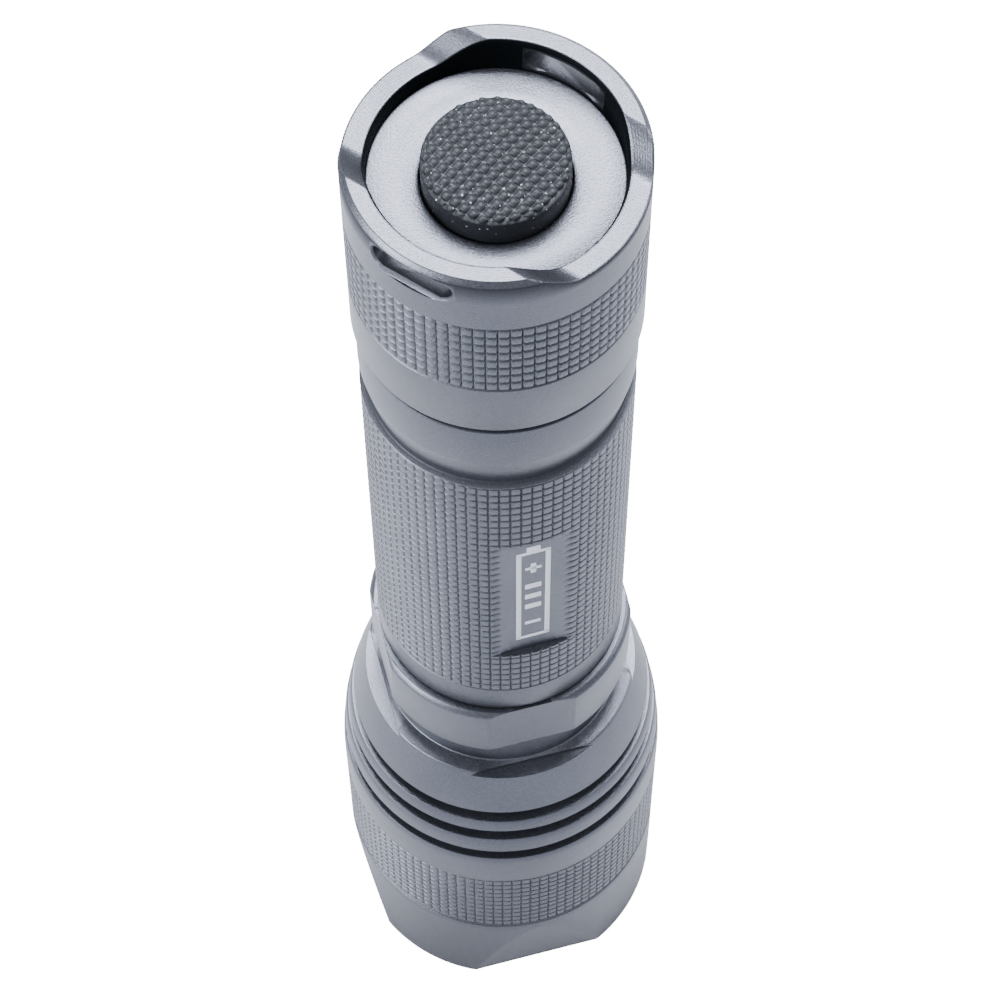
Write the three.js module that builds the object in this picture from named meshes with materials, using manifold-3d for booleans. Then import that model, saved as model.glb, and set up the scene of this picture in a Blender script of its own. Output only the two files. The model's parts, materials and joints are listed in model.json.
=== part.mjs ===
// A tactical flashlight that stands on its bezel. Millimetres, +Z up.
// The origin is the centre of the bezel's rest face. The tail switch is at the top.
// Every turned piece shares the Z axis. Azimuths are in degrees from -Y, positive towards +X.
import * as THREE from 'three';
import { mergeVertices } from 'three/addons/utils/BufferGeometryUtils.js';
import Module from 'manifold-3d';

const wasm = await Module();
wasm.setup();

// ---- Driving dimensions ----------------------------------------------------------------

const gap = 0.3;              // space kept between neighbouring pieces, along or across the axis
const threadGap = 0.3;        // radial space between a male thread's tube and its bore
const edge = 0.4;             // chamfer on outer edges

// Power cell and the sleeve that fills the barrel round it
const cellRadius = 9.2;
const cellLength = 68.5;      // can only, without the positive button
const cellWrapWall = 0.2;
const wrapFit = 0.05;         // space under the wrap
const cellCanWall = 0.4;
const cellCapThickness = 1;
const cellEndInset = 0.1;     // the can ends this much inside the wrap
const buttonHeight = 1.5;
const buttonRadius = 3.2;
const sleeveWall = 1.0;
const sleeveLength = 66;

// Barrel
const spigotWall = 1.6;       // wall of the threaded ends
const shoulderWidth = 1.7;    // step from the threaded ends to the outside
const frontBandHeight = 4.8;  // plain band between the knurling and the head
const neckGrooveHeight = 1.5;
const neckConeHeight = 3.8;
const neckRingHeight = 7.35;
const neckGrooveDepth = 0.7;
const frontSpigotLength = 13;
const rearSpigotLength = 8;
const oringGrooveDepth = 0.7;
const oringGrooveWidth = 1.4;
const oringClearance = 0.08;  // from the groove's floor, and from the bore round it
const oringSetback = 1.2;     // from the shoulder to the groove
const labelFlatDepth = 0.8;
const labelFlatHeight = 26;
const labelFlatRise = 8.9;    // from the knurling's lower end
const labelAzimuth = 15.5;

// Tail cap
const capStep = 0.4;          // the cap is this much larger than the barrel
const capBodyHeight = 22.35;  // from the joint to the crown's floor
const capFloorThickness = 2.2;
const crownWall = 2.4;
const crownHeight = 4.3;      // crests above the crown's floor
const crownDip = 2.4;         // the low rims below the crests
const channelAzimuth = 56;
const channelHalfWidth = 9.9; // across the crests' edges
const channelFlatHalfWidth = 5.7;
const rampShare = 0.86;       // share of a full S-curve that each ramp takes, so the crest is crisp
const lanyardSlotLength = 8.6;
const lanyardSlotHeight = 2.6;
const lanyardSlotRise = 2;    // slot centre above the crown's floor

// Rubber boot and switch
const bootRadius = 7;
const bootHeight = 3.8;       // above the crown's floor
const bootShoulder = 0.7;     // roundness at the pad field's edge
const bootDome = 0.5;         // the top's middle stands this much above its edge
const bootWall = 1.3;
const bootFlangeWidth = 3.2;
const bootFlangeThickness = 1;
const bootPostRadius = 2.2;
const bootPostLength = 2.6;
const washerThickness = 1;
const housingRadius = 5.6;
const housingHeight = 6.2;
const plungerRadius = 2;
const plungerTravel = 1.2;
const plungerGuideDepth = 3.2;
const switchBoardThickness = 1.3;
const switchRingHeight = 1.8;
const switchRingWidth = 2.4;
const tailSpringLength = 16.4;
const tailSpringWire = 0.9;
const tailSpringTipRadius = 3.2;
const tailSpringBaseRadius = 5;
const tailSpringTurns = 6.5;

// Head
const lensRadius = 16.5;
const lensThickness = 2;
const lensLand = 0.4;         // radial space round the lens
const bezelWall = 2.75;
const bezelHeight = 17.4;
const lipHeight = 2.4;
const lipWidth = 2.3;
const mouthBevel = 1.4;       // the mouth widens by this much towards the rest face
const gasketSection = 1.3;
const bezelFlatDepth = 1.9;   // at the rest face, running out upwards
const bezelFlatHeight = 15.5;
const flatAzimuth = 14.5;     // the first of four flats, on the bezel and on the collar
const headKnurlHeight = 15.5;
const headPlainHeight = 6.7;
const flareLead = 4.9;        // the flare starts this much below the plain band's top
const finGrooveHeight = 2;
const finGrooveDepth = 1.5;
const finPitches = [0.3, 5.2, 9.2]; // lower edge of each cooling groove above the plain band
const neckShoulder = 1.8;     // the flare's top edge is this much larger than the barrel
const waistHeight = 5.4;
const waistDepth = 0.1;       // the waist is this much smaller than the barrel
const collarHeight = 9.4;
const collarStep = 1.1;
const collarFlatDepth = 0.9;
const collarFlatRunout = 0.6; // the flats' cut goes on below the waist

// Optics and light engine
const reflectorDepth = 30.5;  // from the mouth to the parabola's vertex
const reflectorInset = 2.1;   // mouth radius below the lens radius
const reflectorWall = 1;
const reflectorHoleRadius = 4.2;
const reflectorRimWidth = 0.7;
const reflectorRimHeight = 1.2;
const reflectorRimSlope = 0.6; // the rim's back slopes in to the cup
const cavityStraightShare = 0.25; // the head's cavity narrows above this share of the depth
const ledBoardRadius = 7;
const ledBoardThickness = 1.6;
const emitterSize = 5;
const emitterHeight = 0.7;
const domeRadius = 2.2;
const gasketRadius = 5;       // centring gasket round the emitter
const gasketHeight = 1;
const pillWall = 1.5;
const pillFaceThickness = 3;
const pillLedgeWidth = 1.5;
const pillLedgeHeight = 1.5;
const pillCavityDepth = 11.2;
const driverSeatWidth = 0.8;
const driverBoardThickness = 1.6;
const driverRingHeight = 1.6;
const driverRingWidth = 1.8;
const driverSpringWire = 0.8;
const driverSpringRadius = 2.6;
const driverSpringTipRadius = 1.8;
const driverSpringTurns = 3.5;
const driverSpringLength = 7.3;
const spigotSpace = 3.4;      // from the light engine to the barrel's tip
const leadRadius = 0.45;
const leadHoleRadius = 0.9;
const leadHoleLand = 0.1;     // from a lead hole to the carrier's inner wall
const leadCircle = 8.3;       // radius of the two lead holes in the light engine's carrier
const leadPadInset = 2.4;     // from the lead circle in to a lead's pad
const leadDriverInset = 2;    // and in to its solder point on the driver's board
const leadSag = 0.2;          // a lead droops this much on its way to the hole
const leadRise = 0.5;         // and has turned up by this much at the hole's mouth
const leadSteps = 30;
const inductorPlace = [0, 2.6];
const inductorSize = [5, 4.6, 3];
const chipPlace = [-1.6, -3.6];
const chipSize = [3.8, 4.8, 1.5];
const capacitorPlace = [2.9, -3.4];
const capacitorSize = [1.8, 3.2, 1.2];
const toolSlotWidth = 1.8;    // across the two lock rings

// Facets round the axis
const shellFacets = 36;
const innerFacets = 28;
const smallFacets = 20;
const wireSides = 6;
const coilSteps = 11;         // lengths of straight wire in one turn of a spring
const cutterSize = 60;        // larger than the object is wide

// ---- Sizes that follow -----------------------------------------------------------------

const sleeveBore = cellRadius + gap;
const sleeveRadius = sleeveBore + sleeveWall;
const barrelBore = sleeveRadius + gap;
const spigotRadius = barrelBore + spigotWall;
const barrelRadius = spigotRadius + shoulderWidth;
const threadBore = spigotRadius + threadGap;
const capRadius = barrelRadius + capStep;
const collarRadius = barrelRadius + collarStep;
const waistRadius = barrelRadius - waistDepth;

const bezelBore = lensRadius + lensLand;
const headRadius = bezelBore + bezelWall;
const headSpigotRadius = bezelBore - threadGap;
const mouthRadius = bezelBore - lipWidth;

// Heights above the rest face, from the bezel upwards
const gasketZ = lipHeight + gap + gasketSection / 2;
const lensZ = lipHeight + 2 * gap + gasketSection;
const reflectorZ = lensZ + lensThickness + gap;
const headZ = bezelHeight + gap;
const headKnurlTop = headZ + headKnurlHeight;
const headPlainTop = headKnurlTop + headPlainHeight;
const vertexZ = reflectorZ + reflectorDepth;

// Light engine, from the reflector's hole upwards
const mouth = lensRadius - reflectorInset;
const focalLength = mouth ** 2 / (4 * reflectorDepth);
const holeZ = vertexZ - reflectorHoleRadius ** 2 / (4 * focalLength);
const gasketFaceZ = holeZ + 2 * gap;
const ledBoardZ = gasketFaceZ + gasketHeight + gap;
const emitterZ = ledBoardZ - gap - emitterHeight;
const domeZ = emitterZ - gap;
const pillZ = ledBoardZ + ledBoardThickness + gap;
const pillCavityZ = pillZ + pillFaceThickness;
const driverSeatZ = pillCavityZ + pillCavityDepth;
const driverBoardZ = driverSeatZ + gap;
const driverBoardTop = driverBoardZ + driverBoardThickness;
const driverRingZ = driverBoardTop + gap;
const pillTop = driverRingZ + driverRingHeight + gap;
const neckBoreZ = pillTop + gap;
const pillCavityRadius = leadCircle + leadHoleRadius + leadHoleLand;
const driverBore = pillCavityRadius + driverSeatWidth;
const pillRadius = driverBore + pillWall;
const pillBore = pillRadius + threadGap;
const driverBoardRadius = driverBore - gap;

// The head's neck takes the barrel's front end down to just above the light engine
const barrelTipZ = neckBoreZ + spigotSpace;
const barrelZ = barrelTipZ + frontSpigotLength;
const headTop = barrelZ - gap;
const waistTop = headTop - collarHeight;
const flareTop = waistTop - waistHeight;

// Cell, switch and crown, from the driver's spring upwards
const cellTipZ = driverRingZ + driverSpringLength + gap;
const cellZ = cellTipZ + buttonHeight;
const cellTop = cellZ + cellLength;
const switchBoardZ = cellTop + gap + tailSpringLength + gap;
const switchBoardTop = switchBoardZ + switchBoardThickness;
const housingZ = switchBoardTop + gap;
const housingTop = housingZ + housingHeight;
const flangeZ = housingTop + gap * 3;
const flangeTop = flangeZ + bootFlangeThickness;
const washerZ = flangeZ - gap - washerThickness;
const crownFloor = flangeTop + gap + capFloorThickness;
const crestTop = crownFloor + crownHeight;
const rimTop = crestTop - crownDip;
const capZ = crownFloor - capBodyHeight;

// The barrel reaches from the head to the cap, and its knurling takes what is left
const barrelTop = capZ - gap;
const barrelRearTip = barrelTop + rearSpigotLength;
const neckRingZ = barrelTop - neckRingHeight;
const neckConeZ = neckRingZ - neckConeHeight;
const barrelKnurlTop = neckConeZ - neckGrooveHeight;
const barrelKnurlZ = barrelZ + frontBandHeight;
const switchRingTop = switchBoardZ - gap;
const switchRingZ = switchRingTop - switchRingHeight;
const switchPocketZ = switchBoardTop + gap;
const flangeRadius = bootRadius + bootFlangeWidth;
const switchPocketRadius = flangeRadius + gap;

// ---- Shared shapes ---------------------------------------------------------------------

const degrees = Math.PI / 180;
const quarters = [0, 90, 180, 270];

// A closed section [radius, height] turned about Z: up on the outside, down on the inside.
function turned(section, facets = shellFacets) {
  const points = section.map(([r, z]) => new THREE.Vector2(r, z));
  const onAxis = section[0][0] === 0 && section.at(-1)[0] === 0;
  if (!onAxis) points.push(points[0].clone());
  return new THREE.LatheGeometry(points, facets).rotateX(Math.PI / 2);
}

// A plain ring between two radii and two heights.
function ring(outer, inner, bottom, top, facets = innerFacets) {
  return turned([[outer, bottom], [outer, top], [inner, top], [inner, bottom]], facets);
}

// A plain disc.
function disc(radius, bottom, top, facets = innerFacets) {
  return turned([[0, bottom], [radius, bottom], [radius, top], [0, top]], facets);
}

// A ring of round section.
function oring(centreRadius, section, z) {
  return new THREE.TorusGeometry(centreRadius, section / 2, wireSides, innerFacets).translate(0, 0, z);
}

// A block that stands from distance `near` outwards along an azimuth, between two heights.
function outerBlock(near, azimuth, bottom, top) {
  return new THREE.BoxGeometry(cutterSize, cutterSize, top - bottom)
    .translate(0, -near - cutterSize / 2, (bottom + top) / 2)
    .rotateZ(azimuth * degrees);
}

// An outline in (across, height) pushed right through the object along an azimuth.
function throughCut(shape, azimuth) {
  return new THREE.ExtrudeGeometry(shape, { depth: cutterSize, bevelEnabled: false })
    .translate(0, 0, -cutterSize / 2)
    .rotateX(Math.PI / 2)
    .rotateZ(azimuth * degrees);
}

// A slot for a pin spanner, straight across the axis at the middle height z.
function toolSlot(height, z) {
  return new THREE.BoxGeometry(cutterSize, toolSlotWidth, height).translate(0, 0, z);
}

// A wire of round section along a curve.
function wire(curve, radius, steps) {
  const section = new THREE.Shape();
  for (let i = 0; i < wireSides; i++) {
    const a = (2 * Math.PI * i) / wireSides;
    const at = [radius * Math.cos(a), radius * Math.sin(a)];
    if (i) section.lineTo(...at);
    else section.moveTo(...at);
  }
  return new THREE.ExtrudeGeometry(section, { steps, bevelEnabled: false, extrudePath: curve });
}

// A coil whose radius and height change evenly from one end to the other.
class Coil extends THREE.Curve {
  constructor(startRadius, endRadius, bottom, top, turns) {
    super();
    Object.assign(this, { startRadius, endRadius, bottom, top, turns });
  }
  getPoint(t, target = new THREE.Vector3()) {
    const r = this.startRadius + (this.endRadius - this.startRadius) * t;
    const a = 2 * Math.PI * this.turns * t;
    return target.set(r * Math.cos(a), r * Math.sin(a), this.bottom + (this.top - this.bottom) * t);
  }
}

function coilSpring(startRadius, endRadius, bottom, top, wireDiameter, turns) {
  const half = wireDiameter / 2;
  const coil = new Coil(startRadius, endRadius, bottom + half, top - half, turns);
  return wire(coil, half, Math.round(turns * coilSteps));
}

function toSolid(geometry) {
  const bare = geometry.clone();
  bare.deleteAttribute('normal');
  bare.deleteAttribute('uv');
  const merged = mergeVertices(bare, 1e-4);
  return new wasm.Manifold(new wasm.Mesh({
    numProp: 3,
    vertProperties: merged.attributes.position.array,
    triVerts: new Uint32Array(merged.index.array),
  }));
}

function cut(geometry, cutters) {
  let solid = toSolid(geometry);
  for (const cutter of cutters) solid = solid.subtract(toSolid(cutter));
  const { vertProperties, triVerts } = solid.getMesh();
  return new THREE.BufferGeometry()
    .setAttribute('position', new THREE.BufferAttribute(vertProperties, 3))
    .setIndex(new THREE.BufferAttribute(triVerts, 1));
}

const flashlight = new THREE.Group();
flashlight.name = 'tactical_flashlight';

function add(name, geometry, material) {
  const mesh = new THREE.Mesh(geometry, material);
  mesh.name = name;
  flashlight.add(mesh);
}

const finish = (color, roughness, metalness) =>
  new THREE.MeshStandardMaterial({ color, roughness, metalness });
const anodised = finish(0x70757f, 0.42, 0.85);
const bright = finish(0xd8dadd, 0.12, 1);
const rubber = finish(0x17181b, 0.8, 0);
const glass = new THREE.MeshStandardMaterial({
  color: 0xe8f2f4, roughness: 0.03, metalness: 0, transparent: true, opacity: 0.35,
});
const brass = finish(0xb08a45, 0.35, 0.9);
const steel = finish(0xa9abae, 0.3, 0.95);
const board = finish(0x1d3b2a, 0.55, 0);
const whitePlastic = finish(0xe6e5e0, 0.5, 0);
const blackPlastic = finish(0x1b1c1e, 0.5, 0);
const phosphor = finish(0xe6d24a, 0.4, 0);
const cellSkin = finish(0x2b6aa8, 0.35, 0);
const redPlastic = finish(0xa8262a, 0.5, 0);

// ---- Bezel and optics ------------------------------------------------------------------

// Screwed ring with a bevelled mouth, the lens seat and four tapering flats.
function bezelRing() {
  const body = turned([
    [headRadius - edge, 0],
    [headRadius, edge],
    [headRadius, bezelHeight - edge / 2],
    [headRadius - edge / 2, bezelHeight],
    [bezelBore, bezelHeight],
    [bezelBore, lipHeight],
    [mouthRadius, lipHeight],
    [mouthRadius + mouthBevel, edge],
    [mouthRadius + mouthBevel + edge, 0],
  ]);
  const tilt = Math.atan2(bezelFlatDepth, bezelFlatHeight);
  const flats = quarters.map((step) =>
    new THREE.BoxGeometry(cutterSize, cutterSize, cutterSize)
      .translate(0, -cutterSize / 2, 0)
      .rotateX(tilt)
      .translate(0, -(headRadius - bezelFlatDepth), 0)
      .rotateZ((flatAzimuth + step) * degrees));
  add('bezel_ring', cut(body, flats), anodised);
}

// Parabolic cup with its mouth down and a flat rim that the lens presses on.
function reflector() {
  const inner = [];
  const steps = 6;
  for (let i = 0; i <= steps; i++) {
    const r = reflectorHoleRadius + ((mouth - reflectorHoleRadius) * i) / steps;
    inner.push([r, vertexZ - r ** 2 / (4 * focalLength)]);
  }
  const outer = inner.slice(1, -2).map(([r, z]) => [r + reflectorWall, z]);
  const rimOuter = mouth + reflectorRimWidth;
  const section = [
    [rimOuter, reflectorZ],
    [rimOuter, reflectorZ + reflectorRimHeight],
    [rimOuter - reflectorRimSlope, reflectorZ + reflectorRimHeight + reflectorRimSlope],
    ...outer.toReversed(),
    [gasketRadius, holeZ + gap],
    [reflectorHoleRadius, holeZ + gap],
    ...inner,
  ];
  add('reflector', turned(section), bright);
}

function opticalStack() {
  bezelRing();
  const gasketRing = bezelBore - gap - gasketSection / 2;
  add('lens_gasket', oring(gasketRing, gasketSection, gasketZ), rubber);
  add('lens', disc(lensRadius, lensZ, lensZ + lensThickness, shellFacets), glass);
  reflector();
}

// ---- Head ------------------------------------------------------------------------------

// Outside radius of the flare: a quarter-parabola from the neck's shoulder to the head.
function flareRadius(z) {
  const top = barrelRadius + neckShoulder;
  const bottom = headPlainTop - flareLead;
  const share = Math.min(1, Math.max(0, (flareTop - z) / (flareTop - bottom)));
  return top + (headRadius - top) * (1 - (1 - share) ** 2);
}

function coolingGroove(rise) {
  const low = headPlainTop + rise;
  const high = low + finGrooveHeight;
  const floor = flareRadius(high) - finGrooveDepth;
  return [[flareRadius(low), low], [floor, low], [floor, high], [flareRadius(high), high]];
}

function headBody() {
  const reflectorOuter = mouth + reflectorRimWidth + gap;
  const ledgeRadius = pillBore - pillLedgeWidth;
  const aboveGrooves = headPlainTop + finPitches.at(-1) + finGrooveHeight;
  const flareMiddle = (flareTop + aboveGrooves) / 2;
  const body = turned([
    [headSpigotRadius, reflectorZ],
    [headSpigotRadius, headZ],
    [headRadius, headZ],
    [headRadius, headPlainTop - flareLead],
    ...finPitches.flatMap(coolingGroove),
    [flareRadius(flareMiddle), flareMiddle],
    [flareRadius(flareTop), flareTop],
    [waistRadius, flareTop + edge / 2],
    [waistRadius, waistTop - edge / 2],
    [collarRadius - edge, waistTop],
    [collarRadius, waistTop + edge],
    [collarRadius, headTop - edge],
    [collarRadius - edge, headTop],
    [threadBore, headTop],
    [threadBore, neckBoreZ],
    [pillBore, neckBoreZ],
    [pillBore, pillZ - gap],
    [ledgeRadius, pillZ - gap],
    [ledgeRadius, pillZ - gap - pillLedgeHeight],
    [reflectorOuter, reflectorZ + reflectorDepth * cavityStraightShare],
    [reflectorOuter, reflectorZ],
  ]);
  const flatDistance = collarRadius - collarFlatDepth;
  const flatBottom = flareTop - collarFlatRunout;
  const flats = quarters.map((step) =>
    outerBlock(flatDistance, flatAzimuth + step, flatBottom, headTop + edge));
  add('head_body', cut(body, flats), anodised);
}

// Screwed carrier that takes the heat from the emitter and holds the driver behind it.
function ledPill() {
  const body = turned([
    [0, pillZ],
    [pillRadius, pillZ],
    [pillRadius, pillTop],
    [driverBore, pillTop],
    [driverBore, driverSeatZ],
    [pillCavityRadius, driverSeatZ],
    [pillCavityRadius, pillCavityZ],
    [0, pillCavityZ],
  ], innerFacets);
  const holes = [90, 270].map((azimuth) =>
    new THREE.CylinderGeometry(leadHoleRadius, leadHoleRadius, pillFaceThickness * 2, smallFacets)
      .rotateX(Math.PI / 2)
      .translate(0, -leadCircle, pillZ + pillFaceThickness / 2)
      .rotateZ(azimuth * degrees));
  add('led_pill', cut(body, holes), brass);
}

function ledBoard() {
  add('led_board', disc(ledBoardRadius, ledBoardZ, ledBoardZ + ledBoardThickness), whitePlastic);
  const base = new THREE.BoxGeometry(emitterSize, emitterSize, emitterHeight);
  add('led_emitter', base.translate(0, 0, emitterZ + emitterHeight / 2), phosphor);
  const dome = [];
  const steps = 5;
  for (let i = 0; i <= steps; i++) {
    const a = (Math.PI / 2) * (i / steps);
    dome.push([i ? domeRadius * Math.sin(a) : 0, domeZ - domeRadius * Math.cos(a)]);
  }
  add('led_dome', turned([...dome, [0, domeZ]], smallFacets), glass);
}

// Plastic spacer that centres the reflector on the emitter.
function centringGasket() {
  const hole = emitterSize + 2 * gap;
  const body = disc(gasketRadius, gasketFaceZ, gasketFaceZ + gasketHeight);
  const window = new THREE.BoxGeometry(hole, hole, gasketHeight * 3).translate(0, 0, gasketFaceZ);
  add('centring_gasket', cut(body, [window]), whitePlastic);
}

// One lead from the driver, through its hole in the carrier, to a pad on the emitter's board.
function lead(name, azimuth, material) {
  const axis = new THREE.Vector3(0, 0, 1);
  const at = (r, z) => new THREE.Vector3(0, -r, z).applyAxisAngle(axis, azimuth * degrees);
  const padZ = ledBoardZ - gap - leadRadius - leadSag / 2;
  const route = new THREE.CatmullRomCurve3([
    at(leadCircle - leadPadInset, padZ),
    at(leadCircle - leadPadInset / 2, padZ - leadSag),
    at(leadCircle - leadSag, padZ + leadRise),
    at(leadCircle, pillZ),
    at(leadCircle, pillCavityZ),
    at(leadCircle - leadSag / 2, pillCavityZ + leadDriverInset),
    at(leadCircle - leadDriverInset / 2, driverBoardZ - leadDriverInset * 2),
    at(leadCircle - leadDriverInset, driverBoardZ - leadDriverInset),
    at(leadCircle - leadDriverInset, driverBoardZ - gap),
  ]);
  add(name, wire(route, leadRadius, leadSteps), material);
}

// A component that hangs under the driver's board.
function component(name, [x, y], [width, depth, height], material) {
  const z = driverBoardZ - gap - height / 2;
  add(name, new THREE.BoxGeometry(width, depth, height).translate(x, y, z), material);
}

function driver() {
  add('driver_board', disc(driverBoardRadius, driverBoardZ, driverBoardTop), board);
  component('driver_inductor', inductorPlace, inductorSize, blackPlastic);
  component('driver_chip', chipPlace, chipSize, blackPlastic);
  component('driver_capacitor', capacitorPlace, capacitorSize, brass);
  const ringTop = driverRingZ + driverRingHeight;
  const ringInner = driverBoardRadius - driverRingWidth;
  const ringBody = ring(driverBoardRadius, ringInner, driverRingZ, ringTop);
  const notch = toolSlot(driverRingHeight, ringTop);
  add('driver_ring', cut(ringBody, [notch]), brass);
  const low = driverBoardTop + gap;
  const high = cellTipZ - gap;
  const spring = coilSpring(
    driverSpringRadius, driverSpringTipRadius, low, high, driverSpringWire, driverSpringTurns);
  add('driver_spring', spring, brass);
}

function head() {
  headBody();
  ledPill();
  ledBoard();
  centringGasket();
  lead('lead_positive', 90, redPlastic);
  lead('lead_negative', 270, blackPlastic);
  driver();
}

// ---- Cell ------------------------------------------------------------------------------

// A steel can with the rolled electrodes in it, its button down, in a thin printed wrap.
function cell() {
  const canRadius = cellRadius - cellWrapWall - wrapFit;
  const topRadius = canRadius - cellCanWall;
  const canTop = cellTop - cellEndInset;
  const can = turned([
    [0, canTop - cellCanWall],
    [topRadius, canTop - cellCanWall],
    [topRadius, cellZ],
    [canRadius, cellZ],
    [canRadius, canTop],
    [0, canTop],
  ], innerFacets);
  add('cell_can', can, steel);
  const capTop = cellZ + gap + cellCapThickness;
  add('cell_core', disc(topRadius - gap, capTop + gap, canTop - cellCanWall - gap), blackPlastic);
  add('cell_cap', disc(topRadius - gap, cellZ + gap, capTop), steel);
  add('cell_button', disc(buttonRadius, cellTipZ, cellZ), steel);
  add('cell_wrap', ring(cellRadius, cellRadius - cellWrapWall, cellZ - cellWrapWall, cellTop), cellSkin);
  const sleeveZ = (cellZ + cellTop - sleeveLength) / 2;
  add('adapter_sleeve', ring(sleeveRadius, sleeveBore, sleeveZ, sleeveZ + sleeveLength), whitePlastic);
}

// ---- Barrel ----------------------------------------------------------------------------

// An O-ring groove in a threaded end, listed upwards.
function oringGroove(bottom) {
  const floor = spigotRadius - oringGrooveDepth;
  const top = bottom + oringGrooveWidth;
  return [[spigotRadius, bottom], [floor, bottom], [floor, top], [spigotRadius, top]];
}

function barrel() {
  const frontGroove = barrelZ - oringSetback - oringGrooveWidth;
  const rearGroove = barrelTop + oringSetback;
  const body = turned([
    [spigotRadius - edge, barrelTipZ],
    [spigotRadius, barrelTipZ + edge],
    ...oringGroove(frontGroove),
    [spigotRadius, barrelZ],
    [barrelRadius - edge, barrelZ],
    [barrelRadius, barrelZ + edge],
    [barrelRadius, barrelKnurlTop - edge],
    [barrelRadius - neckGrooveDepth, barrelKnurlTop + edge],
    [barrelRadius - neckGrooveDepth, neckConeZ],
    [barrelRadius, neckRingZ],
    [barrelRadius, barrelTop - edge / 2],
    [barrelRadius - edge / 2, barrelTop],
    [spigotRadius, barrelTop],
    ...oringGroove(rearGroove),
    [spigotRadius, barrelRearTip - edge],
    [spigotRadius - edge, barrelRearTip],
    [barrelBore, barrelRearTip],
    [barrelBore, barrelTipZ],
  ]);
  const labelZ = barrelKnurlZ + labelFlatRise;
  const flat = outerBlock(barrelRadius - labelFlatDepth, labelAzimuth, labelZ, labelZ + labelFlatHeight);
  add('barrel', cut(body, [flat]), anodised);
  const oringCentre = (spigotRadius - oringGrooveDepth + threadBore) / 2;
  const oringBody = threadBore - spigotRadius + oringGrooveDepth - 2 * oringClearance;
  add('head_oring', oring(oringCentre, oringBody, frontGroove + oringGrooveWidth / 2), rubber);
  add('tail_oring', oring(oringCentre, oringBody, rearGroove + oringGrooveWidth / 2), rubber);
}

// ---- Tail cap and switch ---------------------------------------------------------------

// The crown's two low rims are one straight channel, with S-shaped ramps up to the crests.
function channelOutline() {
  const smooth = (t) => 3 * t ** 2 - 2 * t ** 3;
  const steps = 6;
  const ramp = [];
  for (let i = 0; i <= steps; i++) {
    const t = i / steps;
    const rise = smooth(rampShare * t) / smooth(rampShare);
    const across = channelFlatHalfWidth + (channelHalfWidth - channelFlatHalfWidth) * t;
    ramp.push([across, rimTop + crownDip * rise]);
  }
  const outline = new THREE.Shape();
  const above = crestTop + crownHeight;
  outline.moveTo(-channelHalfWidth, above);
  for (const [x, z] of ramp.toReversed()) outline.lineTo(-x, z);
  for (const [x, z] of ramp) outline.lineTo(x, z);
  outline.lineTo(channelHalfWidth, above);
  return outline;
}

// A slot with round ends, for a lanyard, through both crests.
function lanyardOutline() {
  const half = lanyardSlotLength / 2 - lanyardSlotHeight / 2;
  const radius = lanyardSlotHeight / 2;
  const z = crownFloor + lanyardSlotRise;
  const outline = new THREE.Shape();
  const steps = 5;
  for (const [side, start] of [[1, -Math.PI / 2], [-1, Math.PI / 2]]) {
    for (let i = 0; i <= steps; i++) {
      const a = start + (Math.PI * i) / steps;
      const at = [side * half + radius * Math.cos(a), z + radius * Math.sin(a)];
      if (side === 1 && i === 0) outline.moveTo(...at);
      else outline.lineTo(...at);
    }
  }
  return outline;
}

function tailCap() {
  const crownBore = capRadius - crownWall;
  const body = turned([
    [capRadius - edge / 2, capZ],
    [capRadius, capZ + edge / 2],
    [capRadius, crestTop - edge],
    [capRadius - edge, crestTop],
    [crownBore, crestTop],
    [crownBore, crownFloor],
    [bootRadius + gap / 2, crownFloor],
    [bootRadius + gap / 2, crownFloor - capFloorThickness],
    [switchPocketRadius, crownFloor - capFloorThickness],
    [switchPocketRadius, switchPocketZ],
    [threadBore, switchPocketZ],
    [threadBore, capZ],
  ]);
  const channel = throughCut(channelOutline(), channelAzimuth);
  const slots = throughCut(lanyardOutline(), channelAzimuth + 90);
  add('tail_cap', cut(body, [channel, slots]), anodised);
}

// Dome-topped rubber boot: a flange under the cap's floor, a wall, and a post over the plunger.
function switchBoot() {
  const top = crownFloor + bootHeight;
  const innerTop = top - bootWall;
  const bore = bootRadius - bootWall;
  const domeEdge = top - bootDome;
  const domeRim = bootRadius - bootShoulder;
  const shoulder = [0, 30, 60].map((a) => [
    domeRim + bootShoulder * Math.cos(a * degrees),
    domeEdge - bootShoulder + bootShoulder * Math.sin(a * degrees),
  ]);
  const dome = [1, 0.75, 0.4, 0].map((share) =>
    [domeRim * share, domeEdge + bootDome * (1 - share ** 2)]);
  add('switch_boot', turned([
    [0, innerTop - bootPostLength],
    [bootPostRadius, innerTop - bootPostLength],
    [bootPostRadius, innerTop],
    [bore - bootShoulder, innerTop - bootDome],
    [bore, innerTop - bootDome - bootShoulder],
    [bore, flangeZ],
    [flangeRadius, flangeZ],
    [flangeRadius, flangeTop],
    [bootRadius, flangeTop],
    ...shoulder,
    ...dome,
  ], innerFacets), rubber);
}

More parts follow.
